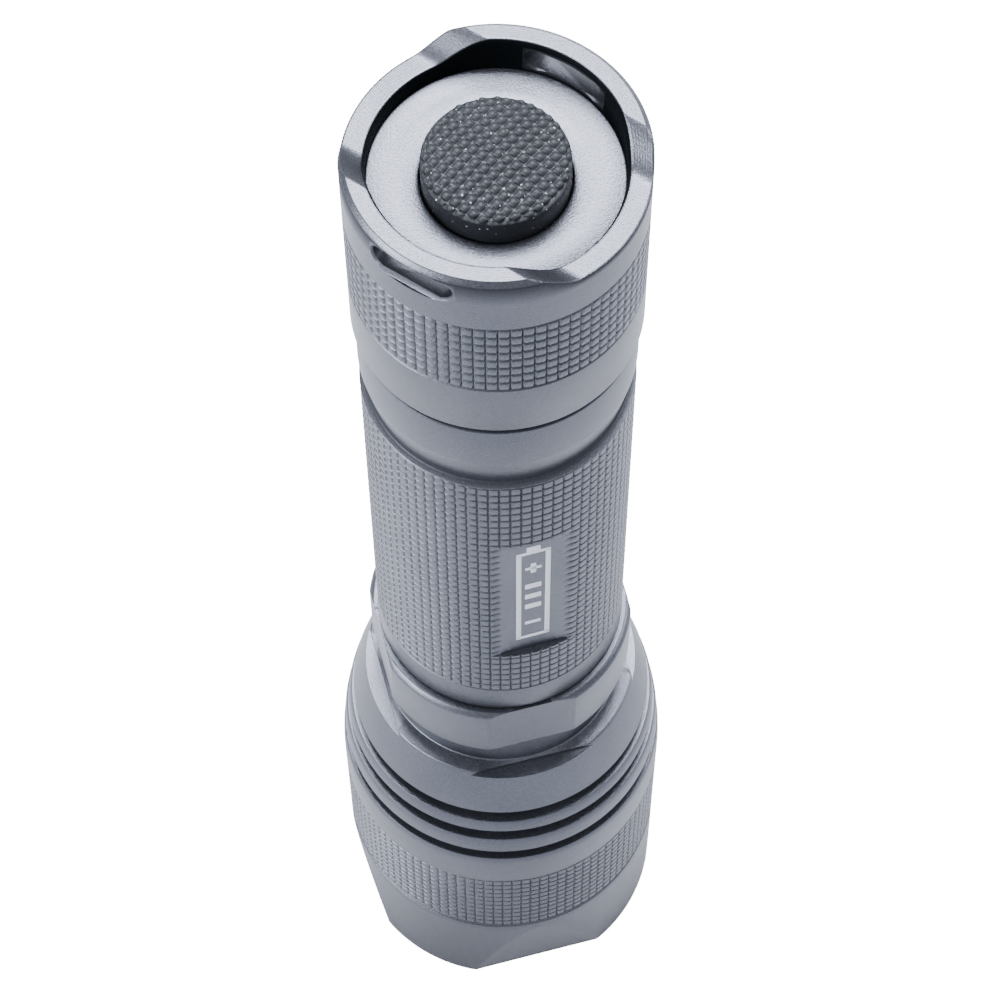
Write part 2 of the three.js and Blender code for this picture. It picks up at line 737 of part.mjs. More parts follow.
function switchCartridge() {
  switchBoot();
  const washer = ring(flangeRadius, housingRadius + gap, washerZ, washerZ + washerThickness);
  add('boot_washer', washer, whitePlastic);
  const guide = plungerRadius + gap;
  add('switch_housing', turned([
    [0, housingZ],
    [housingRadius, housingZ],
    [housingRadius, housingTop],
    [guide, housingTop],
    [guide, housingTop - plungerGuideDepth - plungerTravel],
    [0, housingTop - plungerGuideDepth - plungerTravel],
  ]), blackPlastic);
  const postTip = crownFloor + bootHeight - bootWall - bootPostLength;
  add('switch_plunger',
    disc(plungerRadius, housingTop - plungerGuideDepth, postTip - gap, smallFacets),
    redPlastic);
  const boardRadius = threadBore - gap;
  add('switch_board', disc(boardRadius, switchBoardZ, switchBoardTop), board);
  const ringBody = ring(boardRadius, boardRadius - switchRingWidth, switchRingZ, switchRingTop);
  const notch = toolSlot(switchRingHeight, switchRingZ);
  add('switch_ring', cut(ringBody, [notch]), brass);
  const spring = coilSpring(
    tailSpringTipRadius, tailSpringBaseRadius,
    cellTop + gap, switchBoardZ - gap, tailSpringWire, tailSpringTurns);
  add('tail_spring', spring, brass);
}

opticalStack();
head();
cell();
barrel();
tailCap();
switchCartridge();

export default flashlight;
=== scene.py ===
# %% [markdown]
# # A tactical flashlight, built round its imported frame
# The light stands on its bezel and looks like one long turned part, but it is a stack of screwed
# pieces: bezel, head, barrel and tail cap, with a rubber switch boot on top. The frame already holds
# every piece at its true size. This file gives the pieces their finished surfaces: cut knurling,
# milled flats, a crowned tail and moulded rubber pads.

# %% Load the frame
import json
import math

import bpy
import numpy as np
from mathutils import Matrix, Vector


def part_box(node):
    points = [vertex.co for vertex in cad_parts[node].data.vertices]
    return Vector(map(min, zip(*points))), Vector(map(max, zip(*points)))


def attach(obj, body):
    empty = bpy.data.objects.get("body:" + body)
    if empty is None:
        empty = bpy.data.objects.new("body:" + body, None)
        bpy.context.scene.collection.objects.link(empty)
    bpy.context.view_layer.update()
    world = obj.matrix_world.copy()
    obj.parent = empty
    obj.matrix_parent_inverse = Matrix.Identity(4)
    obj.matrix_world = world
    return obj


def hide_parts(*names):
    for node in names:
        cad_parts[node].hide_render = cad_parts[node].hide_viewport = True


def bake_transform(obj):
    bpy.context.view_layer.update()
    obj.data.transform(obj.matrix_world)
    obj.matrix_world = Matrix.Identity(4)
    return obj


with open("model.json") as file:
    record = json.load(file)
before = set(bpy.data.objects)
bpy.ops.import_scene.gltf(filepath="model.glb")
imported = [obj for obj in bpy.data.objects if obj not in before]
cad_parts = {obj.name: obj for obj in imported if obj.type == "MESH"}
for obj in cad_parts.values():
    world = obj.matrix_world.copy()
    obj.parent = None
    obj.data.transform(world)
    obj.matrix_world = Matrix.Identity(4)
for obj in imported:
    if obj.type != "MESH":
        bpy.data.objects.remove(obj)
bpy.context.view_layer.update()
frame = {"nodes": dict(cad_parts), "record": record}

# %% [markdown]
# ## Units and the azimuth
# Lengths below are in millimetres, as on a drawing, and become metres when a mesh is made.
# An azimuth is an angle round the light, measured from the front (-Y) towards the right (+X).

# %% Units
MM = 0.001
TURN = 2 * math.pi


def box_mm(node):
    """Lowest and highest corner of a frame node, in millimetres."""
    low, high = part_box(node)
    return np.array(low) / MM, np.array(high) / MM


def around(r, z, azimuth):
    """Points at radius r, height z and an azimuth: x = r sin(azimuth), y = -r cos(azimuth)."""
    r, z, azimuth = np.broadcast_arrays(r, z, azimuth)
    return np.stack([r * np.sin(azimuth), -r * np.cos(azimuth), z], axis=-1)


# %% [markdown]
# ## The camera and the light
# The view is from above and in front, steep enough to look into the crown. A long lens keeps the
# sides of the barrel almost parallel. The room is pale on all sides: satin metal shows its shape
# by what it mirrors, so a large panel above lights the crown's floor and the rims, and two smaller
# ones light the sides.

# %% Camera
CAMERA_PLACE = (0.0001, -0.1689, 0.4197)
CAMERA_DIP = math.radians(62.35)
CAMERA_ROLL = math.radians(-0.48)
CAMERA_LENS, CAMERA_SENSOR = 120.06, 36
camera_data = bpy.data.cameras.new("camera")
camera_data.lens = CAMERA_LENS
camera_data.sensor_width = CAMERA_SENSOR
camera_data.clip_start = 0.01
camera = bpy.data.objects.new("camera", camera_data)
tilt = Matrix.Rotation(math.pi / 2 - CAMERA_DIP, 4, "X")
roll = Matrix.Rotation(CAMERA_ROLL, 4, "Z")
camera.matrix_world = Matrix.Translation(CAMERA_PLACE) @ tilt @ roll
bpy.context.scene.collection.objects.link(camera)
bpy.context.scene.camera = camera
print("camera: lens", round(camera_data.lens, 1), "mm")

# %% Room
ROOM_COLOR = (0.90, 0.94, 1.0, 1)
ROOM_SEEN, ROOM_LIT = 18.0, 1.0


def seen_brighter(tree, socket, seen, lit):
    """Drive a strength socket with `seen` for what the camera sees directly and `lit` for the light
    that reaches the object: a white background then doesn't wash out the metal."""
    path = tree.nodes.new("ShaderNodeLightPath")
    share = tree.nodes.new("ShaderNodeMapRange")
    share.inputs["To Min"].default_value, share.inputs["To Max"].default_value = lit, seen
    tree.links.new(path.outputs["Is Camera Ray"], share.inputs["Value"])
    tree.links.new(share.outputs["Result"], socket)


world = bpy.data.worlds.new("pale_room")
world.use_nodes = True
room = world.node_tree.nodes["Background"]
room.inputs["Color"].default_value = ROOM_COLOR
seen_brighter(world.node_tree, room.inputs["Strength"], ROOM_SEEN, ROOM_LIT)
bpy.context.scene.world = world

# %% Lamps
COOL_WHITE = (0.93, 0.955, 1.0)


def panel(name, place, target, size, power):
    """A soft square lamp of cool white at a place, facing a target point. The side is in metres and
    the power in watts."""
    data = bpy.data.lights.new(name, "AREA")
    data.shape = "SQUARE"
    data.size = size
    data.energy = power
    data.color = COOL_WHITE
    lamp = bpy.data.objects.new(name, data)
    aim = (Vector(target) - Vector(place)).to_track_quat("-Z", "Y").to_matrix().to_4x4()
    lamp.matrix_world = Matrix.Translation(place) @ aim
    bpy.context.scene.collection.objects.link(lamp)


panel("panel_above", (0.0, 0.45, 1.25), (0, 0, 0.15), 0.7, 56)
panel("panel_left", (-0.85, -0.4, 0.5), (-0.1, 0, 0.0), 0.5, 24)
panel("panel_right", (0.9, 0.25, 0.5), (0.1, 0, 0.05), 0.5, 10)

# %% [markdown]
# ## From a grid of points to a mesh
# Almost every piece is a surface with two parameters: how far along its section, and how far round.
# One helper takes the whole grid as an array and hands it to the mesh in a single call. A row that
# has shrunk to a point on the axis becomes one vertex with a fan of triangles.

# %% Grid surfaces
SHARP_ANGLE = 32


def enclosed_volume(mesh):
    """Volume inside a closed mesh: a sixth of the sum of a . (b x c) over its triangles. It is
    negative when the faces point inwards."""
    mesh.calc_loop_triangles()
    corners = np.empty(len(mesh.loop_triangles) * 3, np.int32)
    mesh.loop_triangles.foreach_get("vertices", corners)
    places = np.empty(len(mesh.vertices) * 3, np.float32)
    mesh.vertices.foreach_get("co", places)
    a, b, c = places.reshape(-1, 3)[corners].reshape(-1, 3, 3).transpose(1, 0, 2)
    return np.sum(a * np.cross(b, c)) / 6


def add_mesh(name, points, corners, sizes):
    """An object from points (n, 3) in millimetres, face corners laid end to end, and face sizes."""
    mesh = bpy.data.meshes.new(name)
    mesh.vertices.add(len(points))
    mesh.vertices.foreach_set("co", (np.asarray(points, float) * MM).astype(np.float32).ravel())
    mesh.loops.add(len(corners))
    mesh.loops.foreach_set("vertex_index", np.asarray(corners, np.int32))
    mesh.polygons.add(len(sizes))
    starts = np.concatenate([[0], np.cumsum(sizes)[:-1]])
    mesh.polygons.foreach_set("loop_start", starts.astype(np.int32))
    mesh.polygons.foreach_set("use_smooth", np.ones(len(sizes), bool))
    mesh.update(calc_edges=True)
    mesh.validate()
    if enclosed_volume(mesh) < 0:
        mesh.flip_normals()
    made = bpy.data.objects.new(name, mesh)
    bpy.context.scene.collection.objects.link(made)
    return made


def surface(name, grid, closed_rows=True, masks=None, sharp=SHARP_ANGLE):
    """A mesh from a grid (rows, columns, 3) that closes round its columns, and round its rows too
    if closed_rows. Otherwise the first and last rows are points on the axis. masks holds named
    arrays (rows, columns) that the materials read. Edges steeper than `sharp` degrees stay crisp."""
    rows, columns = grid.shape[:2]
    index = np.arange(rows * columns).reshape(rows, columns)
    following = np.roll(index, -1, axis=1)
    if closed_rows:
        above, above_following = np.roll(index, -1, axis=0), np.roll(following, -1, axis=0)
        quads = np.stack([index, following, above_following, above], axis=-1).reshape(-1, 4)
        made = add_mesh(name, grid.reshape(-1, 3), quads.ravel(), np.full(len(quads), 4))
        keep = np.arange(rows * columns)
    else:
        inner, inner_following = index[1:-1], following[1:-1]
        quads = np.stack([inner[:-1], inner_following[:-1], inner_following[1:], inner[1:]], axis=-1)
        quads = quads.reshape(-1, 4)
        first = np.stack([np.full(columns, index[0, 0]), following[1], index[1]], axis=-1)
        last = np.stack([np.full(columns, index[-1, 0]), index[-2], following[-2]], axis=-1)
        keep = np.concatenate([[0], index[1:-1].ravel(), [index[-1, 0]]])
        new = np.zeros(rows * columns, int)
        new[keep] = np.arange(len(keep))
        corners = np.concatenate([new[quads].ravel(), new[first].ravel(), new[last].ravel()])
        sizes = np.concatenate([np.full(len(quads), 4), np.full(2 * columns, 3)])
        made = add_mesh(name, grid.reshape(-1, 3)[keep], corners, sizes)
    for mask, values in (masks or {}).items():
        layer = made.data.attributes.new(mask, "FLOAT", "POINT")
        values = np.broadcast_to(values, (rows, columns)).ravel()[keep]
        layer.data.foreach_set("value", values.astype(np.float32))
    made.data.set_sharp_from_angle(angle=math.radians(sharp))
    return made


def stretch(start, end, steps):
    """Points from start up to, but not including, end, evenly spaced on a straight line."""
    share = np.arange(steps)[:, None] / steps
    return np.array(start) * (1 - share) + np.array(end) * share


def even(count, phase=0.0):
    """Evenly spaced azimuths."""
    return (np.arange(count) + phase) * TURN / count


ROUNDING_STEPS = 3


def rounded(corners, radius):
    """A closed section [r, z] whose corners are rounded: each corner becomes a quadratic curve
    that starts and ends `radius` away from it, or a third of the shorter side if that is less."""
    corners = np.array(corners, float)
    before = np.roll(corners, 1, axis=0) - corners
    after = np.roll(corners, -1, axis=0) - corners
    length_before = np.linalg.norm(before, axis=1, keepdims=True)
    length_after = np.linalg.norm(after, axis=1, keepdims=True)
    cut = np.minimum(radius, np.minimum(length_before, length_after) / 3)
    start, end = corners + before / length_before * cut, corners + after / length_after * cut
    t = np.linspace(0, 1, ROUNDING_STEPS + 1)[None, :, None]
    curve = (1 - t) ** 2 * start[:, None] + 2 * t * (1 - t) * corners[:, None] + t ** 2 * end[:, None]
    return curve.reshape(-1, 2)


def turned(name, section, columns=96, closed=True):
    """A section [r, z] carried round the axis: up on the outside, down on the inside. A section
    that isn't closed starts and ends on the axis."""
    section = np.asarray(section, float)
    grid = around(section[:, 0:1], section[:, 1:2], even(columns)[None])
    return surface(name, grid, closed)


print("helpers: surface, turned, rounded")

# %% [markdown]
# ## Effects that several finishes share
# Bead-blasted metal, moulded plastic and rubber all break up light in small, irregular ways. Each
# effect is a node group that only gives numbers; the material decides what to do with them. The
# groups measure in object space, so a pattern stays put when a piece is turned or lifted.

# %% Node helpers
def add_node(tree, kind, values=None, **settings):
    """A node whose inputs, by name or number, are linked from a socket or set to a value."""
    made = tree.nodes.new(kind)
    for key, value in settings.items():
        setattr(made, key, value)
    for key, value in (values or {}).items():
        if isinstance(value, bpy.types.NodeSocket):
            tree.links.new(value, made.inputs[key])
        else:
            made.inputs[key].default_value = value
    return made


def maths(tree, operation, *values, clamp=False):
    """The result of one Math node."""
    made = add_node(tree, "ShaderNodeMath", dict(enumerate(values)), operation=operation, use_clamp=clamp)
    return made.outputs[0]


def new_group(name, inputs, outputs):
    """An empty node group with number sockets, and its input and output nodes."""
    tree = bpy.data.node_groups.new(name, "ShaderNodeTree")
    for title, default in inputs.items():
        socket = tree.interface.new_socket(title, in_out="INPUT", socket_type="NodeSocketFloat")
        socket.default_value = default
    for title in outputs:
        tree.interface.new_socket(title, in_out="OUTPUT", socket_type="NodeSocketFloat")
    return tree, tree.nodes.new("NodeGroupInput").outputs, tree.nodes.new("NodeGroupOutput").inputs


def place(tree):
    """Object coordinates in metres."""
    return tree.nodes.new("ShaderNodeTexCoord").outputs["Object"]


def noise(tree, scale, detail=2.0):
    """Noise from 0 to 1, with `scale` lumps per metre."""
    values = {"Vector": place(tree), "Scale": scale, "Detail": detail, "Roughness": 0.55}
    return add_node(tree, "ShaderNodeTexNoise", values).outputs["Fac"]


# %% Effect: grain
# Two sizes of noise: the pits that blasting or a mould leaves, and slow patches as large as a
# fingertip.
grain_group, given, result = new_group(
    "fine_grain", {"Scale": 5000.0, "Patch Scale": 120.0}, ["Grain", "Patches"])
grain_group.links.new(noise(grain_group, given["Scale"], 3.0), result["Grain"])
grain_group.links.new(noise(grain_group, given["Patch Scale"], 2.0), result["Patches"])

# %% Effect: turning lines
# A lathe tool leaves fine rings: the height is a sine of the distance from the axis, made uneven
# by noise.
rings_group, given, result = new_group("turning_lines", {"Lines per Metre": 5000.0}, ["Height"])
xyz = add_node(rings_group, "ShaderNodeSeparateXYZ", {0: place(rings_group)}).outputs
squares = [maths(rings_group, "POWER", xyz[axis], 2.0) for axis in ("X", "Y")]
distance = maths(rings_group, "SQRT", maths(rings_group, "ADD", *squares))
wobble = maths(rings_group, "MULTIPLY", noise(rings_group, 900.0), 3.0)
ring_count = maths(rings_group, "MULTIPLY", distance, given["Lines per Metre"])
phase = maths(rings_group, "MULTIPLY", ring_count, TURN)
rings_group.links.new(maths(rings_group, "SINE", maths(rings_group, "ADD", phase, wobble)), result["Height"])

# %% Effect: dust
# A speck sits in some cells of a cellular pattern: the cell's random shade picks which, and the
# distance from its middle gives the speck its size.
dust_group, given, result = new_group("dust_specks", {"Scale": 2600.0, "Share": 0.1, "Size": 0.25}, ["Mask"])
cells = add_node(dust_group, "ShaderNodeTexVoronoi", {"Vector": place(dust_group), "Scale": given["Scale"]})
shades = add_node(dust_group, "ShaderNodeSeparateColor", {0: cells.outputs["Color"]}).outputs
reach = maths(dust_group, "MULTIPLY", shades["Red"], given["Size"])
near = maths(dust_group, "LESS_THAN", cells.outputs["Distance"], reach)
picked = maths(dust_group, "LESS_THAN", shades["Green"], given["Share"])
dust_group.links.new(maths(dust_group, "MULTIPLY", near, picked), result["Mask"])
print("effects:", [g.name for g in bpy.data.node_groups])

# %% [markdown]
# ## A finish from those effects
# Most finishes here differ only in colour, gloss and the size of their grain. One function builds
# such a material and hands back its parts, so a special finish can add to it.

# %% Finish builder
materials = {}


def group_node(tree, group, **values):
    """A node group placed in a material, with its own values (an underscore stands for a space)."""
    made = tree.nodes.new("ShaderNodeGroup")
    made.node_tree = group
    for key, value in values.items():
        made.inputs[key.replace("_", " ")].default_value = value
    return made.outputs


def ramp(tree, share, low, high):
    """low where share is 0, high where it is 1."""
    made = add_node(tree, "ShaderNodeMapRange", {"Value": share, "To Min": low, "To Max": high})
    return made.outputs["Result"]


def blend_colors(tree, share, first, second):
    """A colour between two, where each is a socket or three numbers."""
    made = tree.nodes.new("ShaderNodeMix")
    made.data_type = "RGBA"
    tree.links.new(share, made.inputs[0])
    for number, color in ((6, first), (7, second)):
        if isinstance(color, bpy.types.NodeSocket):
            tree.links.new(color, made.inputs[number])
        else:
            made.inputs[number].default_value = (*color, 1)
    return made.outputs[2]


def finish(slot, dark, light, gloss, metallic=0.0, grain=5000.0, patches=120.0, bump=0.00001, **sockets):
    """A grained material. dark and light are the grain's two colours, gloss the roughness from the
    smoothest to the dullest grain, bump its height in metres."""
    material = bpy.data.materials.new(slot + "_finish")
    material.use_nodes = True
    tree = material.node_tree
    shader = tree.nodes["Principled BSDF"]
    effect = group_node(tree, grain_group, Scale=grain, Patch_Scale=patches)
    mixed = maths(tree, "ADD", maths(tree, "MULTIPLY", effect["Grain"], 0.6),
                  maths(tree, "MULTIPLY", effect["Patches"], 0.4))
    color = blend_colors(tree, mixed, dark, light)
    tree.links.new(color, shader.inputs["Base Color"])
    roughness = ramp(tree, mixed, *gloss)
    tree.links.new(roughness, shader.inputs["Roughness"])
    relief = add_node(tree, "ShaderNodeBump", {"Height": effect["Grain"], "Distance": bump, "Strength": 1.0})
    tree.links.new(relief.outputs["Normal"], shader.inputs["Normal"])
    shader.inputs["Metallic"].default_value = metallic
    for title, value in sockets.items():
        shader.inputs[title.replace("_", " ")].default_value = value
    materials[slot] = material
    return tree, shader, color, roughness, relief


def attribute(tree, name):
    """A named number that a surface carries, 0 where it has none."""
    return add_node(tree, "ShaderNodeAttribute", attribute_name=name).outputs["Fac"]


# %% [markdown]
# ## Bead-blasted, grey-anodised aluminium
# Blasting leaves a fine even grain, and the anodic layer dyes it a cool grey while the metal still
# shines through. The bottoms of the knurling's grooves are darker, for a little dirt and for painted
# shade, the crown's milled rims show fine turning lines, and the wall inside the crown is painted
# almost black as shade. The surfaces carry all three places as attributes.

# %% Anodised aluminium
tree, shader, color, roughness, relief = finish(
    "anodised_aluminium", (0.006, 0.008, 0.014), (0.158, 0.163, 0.190), (0.25, 0.45), metallic=0.95,
    grain=5600.0, patches=60.0, bump=0.000034, Coat_Weight=0.08, Coat_Roughness=0.3)
grooves = attribute(tree, "groove")
# Where a surface is marked as groove the colour darkens: dirt, and painted shade in grooves, recesses and on
# edge lines.
dirt_and_shade_color = blend_colors(tree, maths(tree, "MULTIPLY", grooves, 0.8, clamp=True), color, (0.012, 0.013, 0.017))
# The crown's inner wall is painted almost black: painted shade.
painted_shade_wall = attribute(tree, "painted_shade_wall")
shaded_wall_color = blend_colors(tree, painted_shade_wall, dirt_and_shade_color, (0.002, 0.003, 0.004))
tree.links.new(shaded_wall_color, shader.inputs["Base Color"])
spread = maths(tree, "MULTIPLY", maths(tree, "MAXIMUM", grooves, painted_shade_wall), 0.3)
tree.links.new(maths(tree, "ADD", roughness, spread, clamp=True), shader.inputs["Roughness"])
lines = group_node(tree, rings_group, Lines_per_Metre=4200.0)["Height"]
cut_lines = maths(tree, "MULTIPLY", lines, attribute(tree, "turned"))
second_relief = add_node(tree, "ShaderNodeBump", {"Height": cut_lines, "Distance": 0.0000025,
                                                  "Strength": 1.0, "Normal": relief.outputs["Normal"]})
tree.links.new(second_relief.outputs["Normal"], shader.inputs["Normal"])

# %% [markdown]
# ## Black moulded rubber
# Silicone rubber is matt and slightly blue, and its static draws dust: fine specks everywhere, and
# a paler film at the bottoms of the grooves between the boot's pads.

# %% Rubber
tree, shader, color, *_ = finish(
    "black_rubber", (0.006, 0.007, 0.009), (0.017, 0.019, 0.024), (0.46, 0.62), grain=7000.0,
    patches=250.0, bump=0.000012, Specular_IOR_Level=0.3)
film_share = maths(tree, "MULTIPLY", attribute(tree, "groove"), 0.8)
film = blend_colors(tree, film_share, color, (0.072, 0.076, 0.092))
specks = group_node(tree, dust_group, Scale=2600.0, Share=0.16, Size=0.3)["Mask"]
dusty = blend_colors(tree, maths(tree, "MULTIPLY", specks, 0.75), film, (0.42, 0.43, 0.45))
tree.links.new(dusty, shader.inputs["Base Color"])
print("finishes:", list(materials))

# %% [markdown]
# ## The other finishes
# Brass and plated steel are turned or drawn metal, so they get low grain and some gloss. Plastics
# differ in gloss: a moulded housing is dull, a wrap round a cell is shiny. The lens is clear glass
# with a plain transmission, and the reflector is bare mirror metal with a light texture that evens
# out the beam.

# %% Metals
finish("brass", (0.58, 0.42, 0.18), (0.70, 0.53, 0.26), (0.22, 0.36), metallic=1.0, grain=3000.0,
       bump=0.000004)
finish("spring_metal", (0.72, 0.57, 0.28), (0.83, 0.68, 0.38), (0.18, 0.28), metallic=1.0, grain=4000.0,
       bump=0.000003)
finish("nickel_steel", (0.56, 0.56, 0.56), (0.66, 0.66, 0.65), (0.16, 0.30), metallic=1.0, grain=2500.0,
       bump=0.000003)
finish("reflector_coating", (0.86, 0.87, 0.88), (0.92, 0.93, 0.94), (0.04, 0.09), metallic=1.0, grain=1400.0,
       bump=0.000020)

# %% Plastics, rubber-like wire, boards and ceramics
finish("white_plastic", (0.74, 0.73, 0.69), (0.82, 0.81, 0.78), (0.38, 0.5), grain=2200.0)
finish("black_plastic", (0.016, 0.017, 0.018), (0.028, 0.029, 0.031), (0.36, 0.5), grain=3500.0)
finish("red_plastic", (0.42, 0.03, 0.02), (0.52, 0.05, 0.035), (0.28, 0.4), grain=2500.0)
finish("red_insulation", (0.48, 0.03, 0.025), (0.58, 0.05, 0.04), (0.34, 0.46), grain=3000.0,
       Sheen_Weight=0.2)
finish("circuit_board", (0.012, 0.085, 0.045), (0.02, 0.12, 0.06), (0.26, 0.4), grain=2600.0,
       Coat_Weight=0.4)
finish("ceramic", (0.30, 0.20, 0.12), (0.40, 0.28, 0.17), (0.3, 0.45), grain=3500.0)
finish("phosphor", (0.80, 0.62, 0.08), (0.90, 0.74, 0.16), (0.45, 0.6), grain=9000.0)

# The cell's wrap is printed: two white stripes and a plus sign, where the surface says so.
tree, shader, color, *_ = finish(
    "cell_wrap", (0.02, 0.11, 0.27), (0.03, 0.14, 0.33), (0.16, 0.24), grain=900.0,
    bump=0.000012, Coat_Weight=0.5)
printed = blend_colors(tree, attribute(tree, "print"), color, (0.78, 0.79, 0.80))
tree.links.new(printed, shader.inputs["Base Color"])

# %% Rolled electrodes
# The wound foils show as a spiral of thin rings on the end of the roll.
tree, shader, color, *_ = finish(
    "electrode_roll", (0.05, 0.05, 0.055), (0.09, 0.085, 0.08), (0.4, 0.6), metallic=0.3, grain=3000.0)
foil = group_node(tree, rings_group, Lines_per_Metre=3300.0)["Height"]
copper = blend_colors(tree, maths(tree, "MULTIPLY", foil, 0.5, clamp=True), color, (0.45, 0.22, 0.10))
tree.links.new(copper, shader.inputs["Base Color"])

# %% Glass and clear silicone
finish("lens_glass", (0.93, 0.97, 0.97), (0.98, 1.0, 1.0), (0.0, 0.015), grain=600.0,
       bump=0.0000005, Transmission_Weight=1.0, IOR=1.46, Coat_Weight=0.3)
finish("dome_silicone", (0.96, 0.94, 0.86), (1.0, 0.99, 0.93), (0.03, 0.08), grain=1500.0,
       bump=0.000001, Transmission_Weight=0.9, IOR=1.41)

# %% Etched mark and bare contact pads
finish("etched_mark", (0.48, 0.49, 0.52), (0.66, 0.67, 0.70), (0.5, 0.65), grain=5000.0, metallic=0.3)
finish("copper_pad", (0.80, 0.66, 0.40), (0.86, 0.73, 0.48), (0.3, 0.42), metallic=1.0, grain=4000.0)
print(len(materials), "finishes")

# %% [markdown]
# ## Putting a piece in its place
# Each new piece takes a finish, rides on the body its frame node belongs to, and stands for that
# node. Everything turned is made at once from a section whose corners are slightly rounded, because
# no real edge is perfectly sharp: the rounding is what catches the light.

# %% Fitting pieces
body_of_node = {node: body for body, nodes in frame["record"]["behaviour"]["bodies"].items()
                for node in nodes}
EDGE = 0.15


def fit(piece, node, slot, extra=False, color=None):
    """Give a piece its finish and body. An extra detail rides with the node but doesn't replace it.
    color names another finish that a small detail of the slot is given."""
    piece.data.materials.clear()
    piece.data.materials.append(materials[color or slot])
    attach(piece, body_of_node[node])
    if not extra:
        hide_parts(node)
    return piece


def turned_part(node, slot, corners, radius, columns=96):
    """A turned piece from the corners of its closed section, which are rounded."""
    return fit(turned(node + "_body", rounded(corners, radius), columns), node, slot)


def ring_corners(node, bore):
    """The four corners of a plain ring that fills a node's box, with a bore."""
    low, high = box_mm(node)
    return [(high[0], low[2]), (high[0], high[2]), (bore, high[2]), (bore, low[2])]


def disc_part(node, slot, edge, columns=96):
    """A solid disc that fills a node's box, with a rounded rim."""
    low, high = box_mm(node)
    r, bottom, top = high[0], low[2], high[2]
    rim = rounded([(0, bottom), (r, bottom), (r, top), (0, top)], edge)
    rim = rim[rim[:, 0] > r / 2]
    section = np.vstack([[(0, bottom), (r / 2, bottom)], rim, [(r / 2, top), (0, top)]])
    return fit(turned(node + "_body", section, columns, closed=False), node, slot)


print("fitting helpers ready")

# %% [markdown]
# ## Square knurling
# The grip is a field of small square pads, left standing between ring grooves and lengthwise
# grooves. It could be a displacement on a fine even mesh, but that wastes faces on the flat pads.
# Here the mesh lines themselves are laid where the groove's bottom and edges are, so a few lines per
# pad give crisp V-shaped grooves.

# %% Knurling
GROOVE_LINES = np.array([0.0, 0.10, 0.17, 0.5, 0.83, 0.90])
GROOVE_SHARES = ([0, 0.10, 0.17, 0.5], [1, 0.28, 0.04, 0.0])
KNURL_DEPTH, HEAD_KNURL_DEPTH = 0.34, 0.32

# Shares: of the full depth in a lengthwise groove, of darkening for dirt and painted shade in each
# kind of groove, and of a pitch that the end grooves reach past the band.
LENGTHWISE_DEPTH = 0.62
RING_DIRT_AND_SHADE, LENGTHWISE_DIRT_AND_SHADE = 0.85, 0.15
PAST_BAND = 0.18


def groove_depth(share):
    """Depth of a V groove, 1 at its middle line and 0 half a pitch away, with a softened edge."""
    return np.interp(np.abs((share + 0.5) % 1 - 0.5), *GROOVE_SHARES)


def knurl_azimuths(count, lines=GROOVE_LINES):
    """Azimuths of all the mesh lines round a knurled part with `count` pads."""
    return ((np.arange(count)[:, None] + lines) / count * TURN).ravel()


def knurl_heights(low, high, rows, lines=GROOVE_LINES):
    """Heights of the mesh lines along a knurled band, from half a groove below it to half above."""
    shares = (np.arange(rows)[:, None] + lines).ravel()
    shares = np.concatenate([lines[-2:] - 1, shares, [rows], rows + lines[1:3]])
    return low + shares * (high - low) / rows


def knurl(z, azimuth, low, high, rows, columns):
    """Share of the full groove depth, the deeper of the ring groove and the shallower lengthwise
    groove, and the share of darkening, for dirt that the tool leaves and for painted shade, mostly in the
    ring grooves."""
    pitch = (high - low) / rows
    near_band = (z > low - PAST_BAND * pitch) & (z < high + PAST_BAND * pitch)
    ring = groove_depth((z - low) / pitch) * near_band
    lengthwise = groove_depth(azimuth * columns / TURN) * ((z > low - 1e-6) & (z < high + 1e-6))
    depth = np.maximum(ring, LENGTHWISE_DEPTH * lengthwise)
    return depth, np.maximum(RING_DIRT_AND_SHADE * ring, LENGTHWISE_DIRT_AND_SHADE * lengthwise)


def sheet_of(section, azimuths):
    """Radius, height and azimuth arrays (rows, columns) from a section [r, z] and azimuths."""
    section = np.asarray(section, float)
    shape = (len(section), len(azimuths))
    return [np.broadcast_to(part, shape).copy() for part in (section[:, :1], section[:, 1:], azimuths)]


def flattened(r, azimuth, distance, middle):
    """Radius after a flat is milled at a distance from the axis: the smaller of the radius and
    distance / cos(azimuth from the flat's middle)."""
    facing = np.cos(azimuth - middle)
    return np.where(facing > 0.2, np.minimum(r, distance / np.maximum(facing, 0.2)), r)


# %% [markdown]
# ## The tail cap and its crown
# One straight channel is milled across the end of the cap, which leaves two low rims and two raised
# crests that shield the switch. The ramps between them run parallel to the channel, so on the rim
# their creases are not radial. The mesh lines of the crown are shifted round at each radius until
# they lie on those creases, which keeps the crease as crisp as the cutter left it.

# %% Crown heights
cap_low, cap_high = box_mm("tail_cap")
CAP_RADIUS = cap_high[0]
CREST_Z = cap_high[2]
CROWN_FLOOR = CREST_Z - 4.3
RIM_Z = CREST_Z - 2.4
CROWN_BORE = CAP_RADIUS - 2.4

# The channel's azimuth, and half its width at the flat bottom and at the top of the ramps. A ramp is
# the first RAMP_SHARE of a smooth step, so it meets the crest in a crease.
CHANNEL = math.radians(56)
CHANNEL_FLAT, CHANNEL_WIDE = 5.7, 9.9
RAMP_SHARE = 0.86


def smooth(t):
    """A smooth step: 0 below 0, 1 above 1."""
    t = np.clip(t, 0, 1)
    return 3 * t ** 2 - 2 * t ** 3


